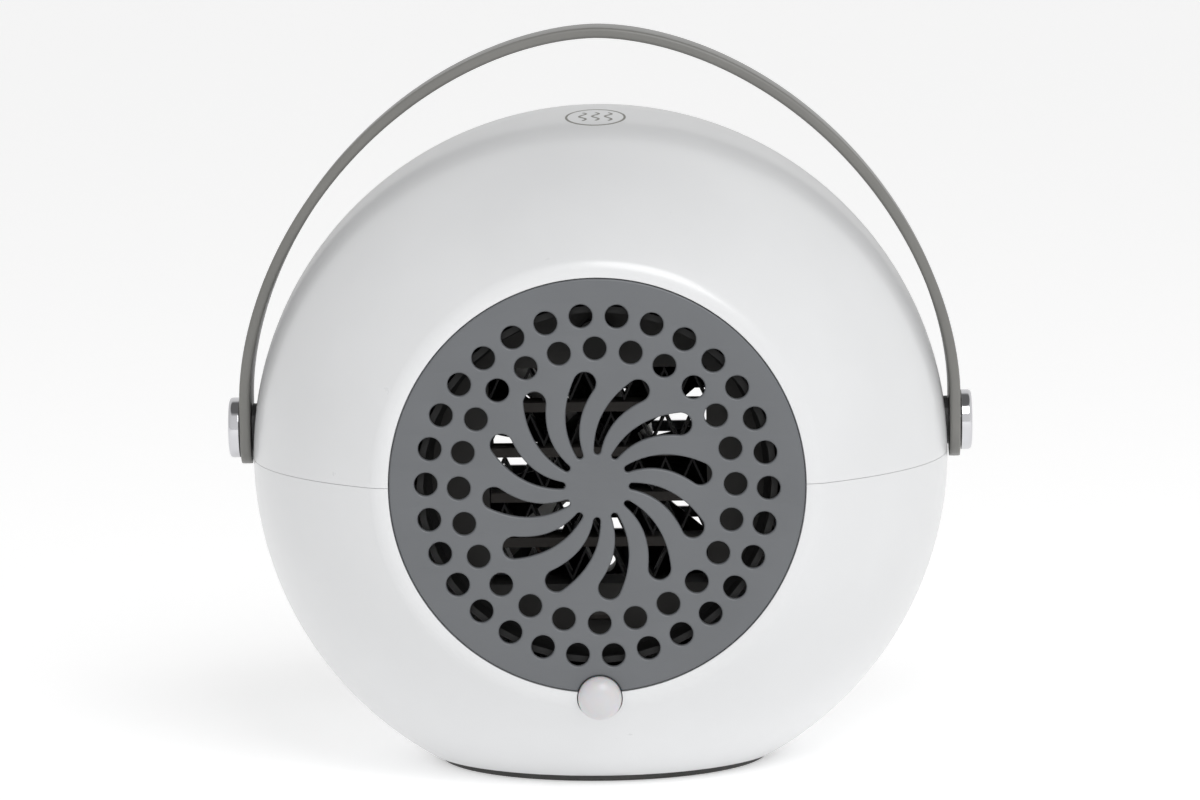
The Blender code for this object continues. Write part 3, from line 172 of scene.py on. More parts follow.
def wave(nodes, links, size, detail, where):
    """A noise whose features are about this size, in metres."""
    noise = nodes.new("ShaderNodeTexNoise")
    noise.inputs["Scale"].default_value = 1 / size
    noise.inputs["Detail"].default_value = detail
    links.new(where.outputs["Object"], noise.inputs["Vector"])
    return noise


def moulded(name, colour, roughness, grain=0.0006, depth=0.00002, tone=0.03, gloss_drift=0.05, coat=0.0,
            metal=0.0):
    """A finish with fine grain and a slow drift in tone and in gloss. metal is 1 for a metal."""
    made = bpy.data.materials.new(name)
    made.use_nodes = True
    nodes, links = made.node_tree.nodes, made.node_tree.links
    shader = nodes["Principled BSDF"]
    shader.inputs["Metallic"].default_value = metal
    shader.inputs["Coat Weight"].default_value = coat
    shader.inputs["Coat Roughness"].default_value = 0.12
    where = nodes.new("ShaderNodeTexCoord")
    drift = wave(nodes, links, 0.03, 3, where)
    shades = nodes.new("ShaderNodeValToRGB")
    shades.color_ramp.elements[0].position, shades.color_ramp.elements[1].position = 0.3, 0.7
    for stop, share in zip(shades.color_ramp.elements, (1 - tone, 1 + tone)):
        stop.color = (*(min(1, channel * share) for channel in colour), 1)
    links.new(drift.outputs["Fac"], shades.inputs["Fac"])
    links.new(shades.outputs["Color"], shader.inputs["Base Color"])
    smear = wave(nodes, links, 0.008, 4, where)
    gloss = nodes.new("ShaderNodeMapRange")
    gloss.inputs["To Min"].default_value = max(0.02, roughness - gloss_drift)
    gloss.inputs["To Max"].default_value = roughness + gloss_drift
    links.new(smear.outputs["Fac"], gloss.inputs["Value"])
    links.new(gloss.outputs["Result"], shader.inputs["Roughness"])
    texture = wave(nodes, links, grain, 2, where)
    bump = nodes.new("ShaderNodeBump")
    bump.inputs["Strength"].default_value = 0.6
    bump.inputs["Distance"].default_value = depth
    links.new(texture.outputs["Fac"], bump.inputs["Height"])
    links.new(bump.outputs["Normal"], shader.inputs["Normal"])
    return made


def casing_outline():
    """Cross-section of the wall as (radius, distance in front of the middle)."""
    roll_reach = face_reach - face_fillet
    roll_radius = math.sqrt((ball_radius - face_fillet) ** 2 - roll_reach**2)
    lean = math.atan2(roll_radius, roll_reach)
    inside = ball_radius - wall
    inner_end = math.acos((face_reach - ledge_back) / inside)
    lip_width, lip_depth, lip_ease = 0.004, 0.002, 0.0004

    def face(side):
        """The rolled edge, the opening and its ledge, in front with side 1 or behind with side -1."""
        roll = bow((roll_reach, roll_radius), face_fillet, lean, 0, 12)
        lip = eased([(opening_radius + lip_width, face_reach, 0), (opening_radius, face_reach, lip_ease),
                     (opening_radius, face_reach - lip_depth, 0)], 3)[1:-1]
        points = [(y, side * x) for x, y in roll] + [(r, side * d) for r, d in lip]
        points += [(opening_radius, side * (face_reach - ledge_face)),
                   (ledge_radius, side * (face_reach - ledge_face)),
                   (ledge_radius, side * (face_reach - ledge_back))]
        return points

    outer = [(y, x) for x, y in bow((0, 0), ball_radius, lean, math.pi - lean, 64)][1:-1]
    inner = [(y, x) for x, y in bow((0, 0), inside, inner_end, math.pi - inner_end, 32)]
    return face(1)[::-1] + outer + face(-1) + inner[::-1]


white_plastic = moulded("white_plastic", (0.67, 0.675, 0.682), 0.3, grain=0.0009, depth=0.000012, tone=0.012,
                        coat=0.25)
cutter = (0.4, 0.4, 0.1)  # broader than the ball
half_casings = {}
for casing_name, casing_side in (("upper_shell", 1), ("lower_shell", -1)):
    half = lathed(casing_outline(), 96, 0 if casing_side > 0 else math.pi, math.pi)
    half_casings[casing_name] = piece("casing_" + casing_name.split("_")[0], half, "housing", white_plastic,
                                      casing_name, aim=(0, -1, 0), slot="white_plastic")
    waste = bar(cutter, (0, 0, casing_side * (seam_line / 2 - cutter[2] / 2)))
    carve(half_casings[casing_name], "DIFFERENCE", waste)

# The lower half's bottom is sliced flat and closed by a floor, with a hole for the tip-over plunger.
lower_casing, upper_casing = half_casings["lower_shell"], half_casings["upper_shell"]
floor_thickness, floor_flare = 0.0025, 0.002
floor_rim = math.sqrt((ball_radius - wall / 2) ** 2 - floor_low**2)
plunger_low, plunger_high = (Vector(corner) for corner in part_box("tip_plunger"))
plunger_y = (plunger_low.y + plunger_high.y) / 2 - middle.y
plunger_hole, plunger_hole_reach = 0.0054, 0.01
carve(lower_casing, "DIFFERENCE", bar(cutter, (0, 0, floor_low - cutter[2] / 2)))
carve(lower_casing, "UNION", lathed([(0, floor_low), (floor_rim, floor_low),
                                     (floor_rim + floor_flare, floor_low + floor_thickness),
                                     (0, floor_low + floor_thickness)], 128))
carve(lower_casing, "DIFFERENCE",
      pin(plunger_hole, floor_low - plunger_hole_reach, floor_low + plunger_hole_reach), at=(0, plunger_y, 0))

# The tongue stands on the lower half along each side and slips inside the upper one.
tongue_outside, tongue_wall, tongue_height, tongue_root = 0.1115, 0.0018, 0.0025, 0.005
tongue_sweep = math.radians(80)
tongue_outline = [(tongue_outside - tongue_wall, -tongue_root), (ball_radius - wall / 2, -tongue_root),
                  (ball_radius - wall / 2, -seam_line), (tongue_outside, -seam_line),
                  (tongue_outside, tongue_height), (tongue_outside - tongue_wall, tongue_height)]
for tongue_side in (0, math.pi):
    carve(lower_casing, "UNION", lathed(tongue_outline, 32, tongue_side - tongue_sweep / 2, tongue_sweep))

# ---- Outlet grille ----------------------------------------------------------------------------
# One grey moulding snapped into the front opening: twelve swirling slots that widen from the hub,
# then a ring of 24 and a ring of 30 round holes, all with rolled edges.
grille_thickness = 0.0028
grille_inset = 0.0002
vent_radius, vent_ease = 0.0037, 0.00075
outer_ring, outer_start = grille_radius - 0.0118, math.radians(-1.2)
inner_ring, inner_start = outer_ring - 0.0105, math.radians(0.3)
lens_radius, lens_clearance = 0.007, 0.0003
lens_low, lens_high = (Vector(corner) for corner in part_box("indicator_lens"))
lens_drop = middle.z - (lens_low.z + lens_high.z) / 2


def round_loop(centre, radius, count):
    """A closed round loop of this many points."""
    return bow(centre, radius, 0, math.tau * (count - 1) / count, count - 1)


def vents(count, ring, start):
    """One ring of round holes."""
    turns = [start + math.tau * i / count for i in range(count)]
    return [round_loop((ring * math.cos(t), ring * math.sin(t)), vent_radius, 32) for t in turns]


def swirl_slot(turn):
    """A curved slot from near the hub outwards, narrow at the hub and broad at its outer end."""
    stations = ((0.0112, 28.9), (0.0225, 19.3), (0.0331, 6.2))  # reach from the hub's middle, turn in degrees
    inner_half, outer_half = 0.0011, 0.0036
    inner, bend, outer = (Vector((r * math.cos(turn + math.radians(t)), r * math.sin(turn + math.radians(t))))
                          for r, t in stations)
    pull = 2 * bend - (inner + outer) / 2
    steps = 16
    line = []
    for i in range(steps + 1):
        t = i / steps
        spot = (1 - t) ** 2 * inner + 2 * t * (1 - t) * pull + t**2 * outer
        along = (2 * (1 - t) * (pull - inner) + 2 * t * (outer - pull)).normalized()
        line.append((spot, along, inner_half + (outer_half - inner_half) * t))

    def end(spot, along, half, start, steps):
        """The slot's round end."""
        heading = math.atan2(along.y, along.x) + start
        return bow(spot, half, heading, heading + math.pi, steps)

    right = [tuple(spot + half * Vector((along.y, -along.x))) for spot, along, half in line[1:-1]]
    left = [tuple(spot - half * Vector((along.y, -along.x))) for spot, along, half in line[1:-1]]
    return end(*line[0], math.pi / 2, 8) + right + end(*line[-1], -math.pi / 2, 16) + left[::-1]


def notched_rim(radius, drop, notch):
    """A disc's outline with a round bite out of its lowest point."""
    bite = math.acos((radius**2 + drop**2 - notch**2) / (2 * radius * drop))
    points = bow((0, 0), radius, -math.pi / 2 + bite, 1.5 * math.pi - bite, 200)
    lift = math.atan2(points[0][1] + drop, points[0][0])
    return points + bow((0, -drop), notch, math.pi - lift, lift, 24)[1:-1]


def pierced(loops, thickness, ease):
    """A plate from local z 0 up, with rolled edges. The first loop is its rim, the others holes."""
    curve = bpy.data.curves.new("outline", "CURVE")
    curve.dimensions, curve.fill_mode = "2D", "BOTH"
    curve.extrude, curve.bevel_depth, curve.bevel_resolution = thickness / 2 - ease, ease, 3
    curve.offset = -ease
    for loop in loops:
        spline = curve.splines.new("POLY")
        spline.points.add(len(loop) - 1)
        for point, (x, y) in zip(spline.points, loop):
            point.co = (x, y, 0, 1)
        spline.use_cyclic_u = True
    holder = bpy.data.objects.new("outline", curve)
    bpy.context.scene.collection.objects.link(holder)
    bpy.context.view_layer.update()
    flat = bpy.data.meshes.new_from_object(holder.evaluated_get(bpy.context.evaluated_depsgraph_get()))
    bpy.data.objects.remove(holder)
    bm = bmesh.new()
    bm.from_mesh(flat)
    bmesh.ops.translate(bm, verts=bm.verts, vec=(0, 0, thickness / 2))
    return bm


grille_grey = moulded("grille_plastic", (0.120, 0.126, 0.134), 0.42, grain=0.0004, depth=0.00003, tone=0.04)
grille_loops = [notched_rim(grille_radius, lens_drop, lens_radius + lens_clearance)]
grille_loops += vents(30, outer_ring, outer_start) + vents(24, inner_ring, inner_start)
grille_loops += [swirl_slot(math.tau * i / 12) for i in range(12)]
grille_front = face_reach - grille_inset
piece("outlet_grille", pierced(grille_loops, grille_thickness, vent_ease), "housing", grille_grey,
      "front_grille", at=(0, grille_thickness - grille_front, 0), aim=(0, -1, 0), slot="grey_plastic",
      sharp=40)

# ---- Power light ------------------------------------------------------------------------------
# A milky dome pushed through the lower half of the casing from inside, right under the grille. It
# spreads the light of one lamp on the small board behind it.
dome_crown, dome_wall, dome_flange = 0.0045, 0.0012, 0.0016
dome_back = -(lens_high.y - lens_low.y - dome_crown)
dome_inside = lens_radius - dome_wall
dome_hole_inwards, dome_hole_outwards = 0.001, 0.01
flange_radius = (lens_high.x - lens_low.x) / 2


def dome_arc(radius, crown, steps):
    """A quarter of an ellipse, from the rim up to the crown."""
    turns = [math.pi / 2 * i / steps for i in range(steps + 1)]
    return [(radius * math.cos(t), crown * math.sin(t)) for t in turns]


dome_outline = dome_arc(lens_radius, dome_crown, 24)[::-1]
dome_outline += [(lens_radius, dome_back + dome_flange), (flange_radius, dome_back + dome_flange),
                 (flange_radius, dome_back), (dome_inside, dome_back)]
dome_outline += dome_arc(dome_inside, dome_crown - dome_wall, 16)
milky = moulded("milky_plastic", (0.58, 0.575, 0.59), 0.3, grain=0.0012, depth=0.000008, tone=0.01, coat=0.1)
milky_shader = milky.node_tree.nodes["Principled BSDF"]
milky_shader.inputs["Subsurface Weight"].default_value = 0.35
milky_shader.inputs["Subsurface Scale"].default_value = 0.002
piece("power_light_dome", lathed(dome_outline, 96), "housing", milky, "indicator_lens",
      at=(0, -face_reach, -lens_drop), aim=(0, -1, 0), slot="milky_plastic")
carve(lower_casing, "DIFFERENCE",
      pin(lens_radius + lens_clearance, dome_back - dome_hole_inwards, dome_hole_outwards, 96),
      at=(0, -face_reach, -lens_drop), aim=(0, -1, 0))

# ---- Handle -----------------------------------------------------------------------------------
# A flat strap of warm grey plastic bent over the ball, with round ends. It turns on a stud at each
# side and stays where it is put.
strap_thickness, strap_width, strap_ease = 0.0035, 0.024, 0.0011
strap_squareness, strap_straight = 1.82, 0.010
strap_tip = 0.0002  # least half width
strap_hole, strap_hole_reach = 0.0033, 0.15
pivot_rise = 0.0091
strap_low, strap_high = (Vector(corner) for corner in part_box("handle_strap"))
strap_reach = (strap_high.x - strap_low.x) / 2
strap_top = strap_high.z - middle.z - pivot_rise


def strap_stations():
    """Points along the strap's outer face from the right end over the top, each with its half width."""
    half = strap_width / 2
    right = []
    steps = 16
    for i in range(steps + 1):
        t = math.pi / 2 * i / steps
        right.append((Vector((strap_reach, -half * math.cos(t))), half * math.sin(t)))
    bend = []
    steps = 72
    for i in range(steps + 1):
        t = math.pi / 2 * i / steps
        x = math.cos(t) ** (2 / strap_squareness) * strap_reach
        z = strap_straight + math.sin(t) ** (2 / strap_squareness) * (strap_top - strap_straight)
        bend.append((Vector((x, z)), half))
    side = right + bend
    return side + [(Vector((-p.x, p.y)), half_width) for p, half_width in side[-2::-1]]


def strap_section(half_width):
    """Round-edged cross-section as (along the width, in from the outer face)."""
    ease = min(strap_ease, half_width * 0.9)
    corners = ((half_width - ease, ease, 0), (-half_width + ease, ease, 90),
               (-half_width + ease, strap_thickness - ease, 180),
               (half_width - ease, strap_thickness - ease, 270))
    points = []
    for across, inwards, start in corners:
        for k in range(5):
            t = math.radians(start + 90 * k / 4)
            points.append((across + ease * math.cos(t), inwards - ease * math.sin(t)))
    return points


strap_line = strap_stations()
strap = bmesh.new()
strap_rings = []
for i, (spot, half_width) in enumerate(strap_line):
    before, after = strap_line[max(i - 1, 0)][0], strap_line[min(i + 1, len(strap_line) - 1)][0]
    along = (after - before).normalized()
    inwards = Vector((-along.y, along.x))
    ring = []
    for across, inset in strap_section(max(half_width, strap_tip)):
        at = spot + inwards * inset
        ring.append(strap.verts.new((at.x, across, at.y)))
    strap_rings.append(ring)
for near, far in zip(strap_rings, strap_rings[1:]):
    for k in range(len(near)):
        strap.faces.new((near[k], far[k], far[(k + 1) % len(near)], near[(k + 1) % len(near)]))
strap.faces.new(strap_rings[0])
strap.faces.new(strap_rings[-1])
strap_grey = moulded("strap_plastic", (0.166, 0.164, 0.154), 0.4, grain=0.0004, depth=0.00003, tone=0.05)
strap_piece = piece("handle_strap_moulding", strap, "handle", strap_grey, "handle_strap",
                    at=(0, 0, pivot_rise), slot="strap_plastic", sharp=50)
carve(strap_piece, "DIFFERENCE", pin(strap_hole, -strap_hole_reach, strap_hole_reach), at=(0, 0, pivot_rise),
      aim=(1, 0, 0))

# ---- Pivots -----------------------------------------------------------------------------------
# At each side a steel stud with a polished chrome cap passes through the strap, a nylon washer and
# the casing's boss, and a nut holds it inside.
cap_radius, cap_thickness, cap_flat, cap_ease, cap_gap = 0.010, 0.0040, 0.004, 0.0004, 0.0003
stud_radius, stud_chamfer, stud_clearance = 0.0030, 0.0004, 0.0003
washer_recess, washer_recess_depth = 0.0083, 0.0015
hole_start, hole_end = 0.09, 0.13  # through the side of the casing
chrome = moulded("chrome_plating", (0.62, 0.62, 0.64), 0.07, grain=0.004, depth=0.000006, tone=0.01,
                 gloss_drift=0.025, metal=1.0)
cap_under = strap_reach + cap_gap
crown = cap_under + cap_thickness
stud_end = Vector(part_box("pivot_cap_right")[0]).x
for side_name, side in (("left", -1), ("right", 1)):
    cap_outline = [(0, stud_end), (stud_radius - stud_chamfer, stud_end),
                   (stud_radius, stud_end + stud_chamfer), (stud_radius, cap_under)]
    cap_outline += eased([(stud_radius, cap_under, 0), (cap_radius, cap_under, cap_ease),
                          (cap_radius, crown - cap_ease, 0.0014), (cap_flat, crown, 0.003),
                          (0, crown, 0)], 8)[1:]
    piece(f"pivot_stud_{side_name}", lathed(cap_outline, 96), "housing", chrome, f"pivot_cap_{side_name}",
          at=(0, 0, pivot_rise), aim=(side, 0, 0), slot="chrome")
    for hole in (pin(washer_recess, ball_radius - washer_recess_depth, hole_end, 96),
                 pin(stud_radius + stud_clearance, hole_start, hole_end)):
        carve(upper_casing, "DIFFERENCE", hole, at=(0, 0, pivot_rise), aim=(side, 0, 0))


def kept(material, slot, *nodes):
    """Gives built pieces whose shape is right as it stands their finish, which for the fins and cut-out
    inside the duct is painted shade.
    """
    for node in nodes:
        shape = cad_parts[node]
        shape.data.materials.clear()
        shape.data.materials.append(material)


steel = moulded("zinc_plated_steel", (0.46, 0.46, 0.45), 0.36, grain=0.0005, depth=0.00002, tone=0.12,
                gloss_drift=0.09, metal=1.0)
nylon = moulded("black_nylon", (0.030, 0.030, 0.031), 0.5, grain=0.0005, depth=0.00003, tone=0.15)
kept(nylon, "dark_plastic", "pivot_washer_left", "pivot_washer_right")
kept(steel, "steel", "pivot_nut_left", "pivot_nut_right")

# ---- Printed sign -----------------------------------------------------------------------------
# A thin grey ring with three rising heat waves, pad-printed on top of the ball in front of the
# handle.
sign_lift = math.radians(78.8)  # above the horizon, seen from the ball's middle
sign_radius, sign_line = 0.0096, 0.00075
ripple_pitch, ripple_half, ripple_swing = 0.0042, 0.0048, 0.0011
ink_thickness, ink_sink = 0.00006, 0.00003


def printed(name, lines, width, body, ink, lay, slot=None):
    """Ink along each line of points. lay turns a flat place and a height into a place on the surface."""
    bm = bmesh.new()
    for points, closed in lines:
        count = len(points)
        rings = []
        for i, point in enumerate(points):
            if closed:
                before, after = Vector(points[i - 1]), Vector(points[(i + 1) % count])
            else:
                before, after = Vector(points[max(i - 1, 0)]), Vector(points[min(i + 1, count - 1)])
            along = (after - before).normalized()
            across = Vector((-along.y, along.x)) * width / 2
            corners = [(Vector(point) + across, 0), (Vector(point) - across, 0),
                       (Vector(point) - across, ink_thickness), (Vector(point) + across, ink_thickness)]
            rings.append([bm.verts.new(lay(flat.x, flat.y, height)) for flat, height in corners])
        joints = list(zip(rings, rings[1:] + rings[:1])) if closed else list(zip(rings, rings[1:]))
        for near, far in joints:
            for k in range(4):
                bm.faces.new((near[k], far[k], far[(k + 1) % 4], near[(k + 1) % 4]))
        if not closed:
            bm.faces.new(rings[0])
            bm.faces.new(rings[-1])
    return piece(name, bm, body, ink, slot=slot)


def on_ball(x, y, height):
    """A flat place round the sign's middle, laid on the top of the ball."""
    outwards = Vector((0, -math.cos(sign_lift), math.sin(sign_lift)))
    upwards = Vector((0, math.sin(sign_lift), math.cos(sign_lift)))
    direction = (outwards * ball_radius + Vector((x, 0, 0)) + upwards * y).normalized()
    return direction * (ball_radius - ink_sink + height)


grey_ink = moulded("grey_ink", (0.24, 0.24, 0.22), 0.55, grain=0.0003, depth=0.000005, tone=0.08)
sign_lines = [(round_loop((0, 0), sign_radius, 64), True)]
for shift in (-ripple_pitch, 0, ripple_pitch):
    ripple = [(shift + ripple_swing * math.sin(math.tau * i / 16), -ripple_half + 2 * ripple_half * i / 24)
              for i in range(25)]
    sign_lines.append((ripple, False))
printed("heat_sign", sign_lines, sign_line, "housing", grey_ink, on_ball)

# ---- Base ring --------------------------------------------------------------------------------
# A black rubber ring with rounded edges, glued under the flat bottom so that the heater stands
# still and the bottom stays off the table.
ring_low, ring_high = (Vector(corner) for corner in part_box("base_pad"))
ring_radius, ring_width, ring_ease = (ring_high.x - ring_low.x) / 2, 0.0115, 0.0007
ring_under, ring_top = ring_low.z - middle.z, ring_high.z - middle.z
ring_outline = eased([(ring_radius, ring_under, ring_ease), (ring_radius, ring_top, 0),
                      (ring_radius - ring_width, ring_top, 0),
                      (ring_radius - ring_width, ring_under, ring_ease)], 4)
rubber = moulded("black_rubber", (0.055, 0.054, 0.052), 0.72, grain=0.0008, depth=0.00006, tone=0.12)
piece("rubber_base_ring", lathed(ring_outline, 160), "housing", rubber, "base_pad", slot="rubber")

# ---- Tip-over switch --------------------------------------------------------------------------
# A plunger that the table pushes in. Its spring drives it down when the heater falls over, and the
# small switch above it then cuts the power.
kept(nylon, "dark_plastic", "tip_plunger", "tip_switch")
kept(steel, "steel", "tip_spring")

# ---- Air duct and heating element -------------------------------------------------------------
# A black duct on four screwed feet carries the air forwards. In it sits a frame of heat-proof
# plastic with ceramic bars between folded aluminium fins, two tabs, a cut-out and a fuse.
heat_proof = moulded("heat_proof_plastic", (0.035, 0.034, 0.032), 0.62, grain=0.0007, depth=0.00004, tone=0.2)
ceramic = moulded("fired_ceramic", (0.055, 0.050, 0.046), 0.75, grain=0.0004, depth=0.00005, tone=0.1)
# The fins are dull aluminium, coloured near-black as painted shade for the dark inside of the duct.
aluminium = moulded("aluminium_painted_shade", (0.035, 0.035, 0.035), 0.5, grain=0.0009, depth=0.00003, tone=0.1,
                    gloss_drift=0.1, metal=1.0)
# The cut-out's steel is coloured near-black too, as painted shade inside the duct.
cutout_painted_shade = moulded("steel_painted_shade", (0.05, 0.05, 0.05), 0.5, grain=0.0006, depth=0.00002, tone=0.2,
                    metal=1.0)
duct_black = moulded("duct_black", (0.010, 0.010, 0.010), 0.8, grain=0.0006, depth=0.00003, tone=0.2)
kept(duct_black, "dark_plastic", "fan_duct")
kept(steel, "steel", *(f"duct_screw_{i}" for i in range(1, 5)), "heater_tab_left", "heater_tab_right")
kept(heat_proof, "heat_plastic", "heater_frame")
kept(cutout_painted_shade, "steel", "thermal_cutout")
kept(ceramic, "ceramic", *(f"ceramic_bar_{i}" for i in range(1, 5)), "thermal_fuse")
kept(aluminium, "aluminium", *(f"fin_bank_{i}" for i in range(1, 6)))

# ---- Fan and motor ----------------------------------------------------------------------------
# A seven-bladed plastic fan pressed on the shaft of a small motor, which a steel spider holds on
# the back of the duct.
kept(nylon, "dark_plastic", "fan_impeller")
kept(steel, "steel", "motor_shaft", "motor_body", "motor_mount")

# ---- Lamp and its board -----------------------------------------------------------------------
# A small board with green lacquer behind the power light. The lamp soldered on it shines into the
# dome.
board_green = moulded("board_lacquer", (0.022, 0.11, 0.045), 0.4, grain=0.0006, depth=0.00002, tone=0.2)
kept(board_green, "circuit_board", "indicator_board")
kept(milky, "milky_plastic", "indicator_led")

# ---- Wiring -----------------------------------------------------------------------------------
# Brown and blue insulated wires that join the terminal block, switches, thermostat, heater and
# motor. The block is white plastic.
brown_wire = moulded("brown_insulation", (0.14, 0.055, 0.022), 0.45, grain=0.0005, depth=0.00002, tone=0.1)
blue_wire = moulded("blue_insulation", (0.02, 0.075, 0.30), 0.45, grain=0.0005, depth=0.00002, tone=0.1)
kept(brown_wire, "brown_insulation", "wire_live_heater", "wire_live_in", "wire_live_motor", "wire_thermostat",
     "wire_tip_switch")
kept(blue_wire, "blue_insulation", "wire_neutral_heater", "wire_neutral_motor")
kept(white_plastic, "white_plastic", "terminal_block")

# ---- Back cover -------------------------------------------------------------------------------
# A grey moulded disc with rolled slots that let air in, screwed on at four places. The two knobs'
# shafts and the bush of the mains lead pass through it.
cover_low, cover_high = (Vector(corner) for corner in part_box("rear_grille"))
cover_radius, cover_thickness = (cover_high.x - cover_low.x) / 2, cover_high.y - cover_low.y
cover_back, cover_face = cover_low.y - middle.y, cover_high.y - middle.y
cover_ease = 0.0004
intake_count, intake_low, intake_pitch, intake_half, intake_rim = 8, -0.0365, 0.0075, 0.0019, 0.0163
shaft_hole, screw_hole, bush_hole = 0.0036, 0.0016, 0.0061


def centre_of(node):
    """The middle of a built piece, from the ball's middle."""
    low, high = (Vector(corner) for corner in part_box(node))
    return (low + high) / 2 - middle


def intake_slot(height):
    """A level slot with round ends, as long as the cover is wide at this height less its rim."""
    half = math.sqrt((cover_radius - intake_rim) ** 2 - height**2) - intake_half
    return (bow((half, height), intake_half, -math.pi / 2, math.pi / 2, 12)
            + bow((-half, height), intake_half, math.pi / 2, 1.5 * math.pi, 12))


def round_hole(radius, node):
    """A hole in the cover round a built piece. The cover faces back, so x is turned round."""
    place = centre_of(node)
    return round_loop((-place.x, place.z), radius, 32)


cover_loops = [round_loop((0, 0), cover_radius, 192)]
cover_loops += [intake_slot(intake_low + intake_pitch * i) for i in range(intake_count)]
cover_loops += [round_hole(shaft_hole, "selector_shaft"), round_hole(shaft_hole, "thermostat_shaft")]
cover_loops += [round_hole(screw_hole, f"cover_screw_{i}") for i in range(1, 5)]
cover_loops.append(round_hole(bush_hole, "cord_gland"))
piece("back_cover", pierced(cover_loops, cover_thickness, cover_ease), "housing", grille_grey, "rear_grille",
      at=(0, cover_back, 0), aim=(0, 1, 0), slot="grey_plastic", sharp=40)

# Each screw has a domed head with a cross recess, and stands a little clear of the cover's face.
screw_radius, screw_head_radius, screw_head, screw_length, screw_point = 0.0010, 0.0029, 0.0019, 0.0120, 0.001
recess_length, recess_width, recess_depth = 0.0034, 0.0007, 0.0022
screw_clearance = 0.0003
for i in range(1, 5):
    screw_place = centre_of(f"cover_screw_{i}")
    screw_outline = [(0, -screw_length), (screw_radius * 0.5, -screw_length),
                     (screw_radius, -screw_length + screw_point), (screw_radius, 0), (screw_head_radius, 0)]
    screw_outline += eased([(screw_head_radius, 0, 0), (screw_head_radius, 0.0012, 0.0007),
                            (screw_head_radius * 0.6, screw_head, 0.0008), (0, screw_head, 0)], 5)[1:]
    screw_at = (screw_place.x, cover_face + screw_clearance, screw_place.z)
    screw_piece = piece(f"cover_screw_head_{i}", lathed(screw_outline, 40), "housing", steel,
                        f"cover_screw_{i}", at=screw_at, aim=(0, 1, 0), slot="steel")
    for across, up in ((recess_length, recess_width), (recess_width, recess_length)):
        carve(screw_piece, "DIFFERENCE", bar((across, up, recess_depth), (0, 0, screw_head)), at=screw_at,
              aim=(0, 1, 0))

# ---- Bush of the mains lead -------------------------------------------------------------------
# A soft black bush pushed into the back cover, with a barb inside, a flange outside and a bore for
# the lead.
bush_place = centre_of("cord_gland")
bush_low, bush_high = (corner[1] - middle.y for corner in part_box("cord_gland"))
bush_radius, bush_bore, bush_flange, bush_flange_thickness, bush_neck = 0.0058, 0.0036, 0.0085, 0.0016, 0.0032
bush_barb, bush_barb_length, bush_clearance = 0.0008, 0.0043, 0.0003
bush_face = cover_face + bush_clearance
bush_outline = [(bush_bore, bush_low), (bush_radius - bush_barb, bush_low),
                (bush_radius + bush_barb, bush_low + bush_barb_length),
                (bush_radius + bush_barb, cover_back - bush_clearance),
                (bush_radius, cover_back - bush_clearance), (bush_radius, bush_face)]
bush_outline += eased([(bush_radius, bush_face, 0), (bush_flange, bush_face, 0.0003),
                       (bush_flange, bush_face + bush_flange_thickness, 0.0005),
                       (bush_radius, bush_face + bush_neck, 0.0007),
                       (bush_radius - bush_barb, bush_high, 0.0005), (bush_bore, bush_high, 0.0004),
                       (bush_bore, bush_face, 0)], 4)[1:-1]
piece("lead_bush", lathed(bush_outline, 72), "housing", rubber, "cord_gland",
      at=(bush_place.x, 0, bush_place.z), aim=(0, 1, 0), slot="dark_plastic")

# ---- Knobs ------------------------------------------------------------------------------------
# Two fluted white knobs with a raised pointer, pressed on the shafts of the heat selector and the
# thermostat. Plain marks are printed round them on the cover, in white.
knob_radius, knob_grip, knob_height = 0.0125, 0.0098, 0.0130
knob_bore, knob_socket = 0.0033, 0.0090
skirt_height, grip_start, knob_top = 0.0020, 0.0045, knob_height - 0.0010
knob_flutes, flute_depth = 24, 0.0004
pointer_width, pointer_length, pointer_height, pointer_ease = 0.0018, knob_grip - 0.002, 0.0030, 0.0004
mark_start, mark_width, mark_sink = 0.0138, 0.0007, 0.00002
white_ink = moulded("white_ink", (0.7, 0.7, 0.69), 0.5, grain=0.0003, depth=0.000005, tone=0.04)


def on_cover(x, y, height):
    """A flat place seen from behind, laid on the back cover."""
    return Vector((-x, cover_face - mark_sink + height, y))


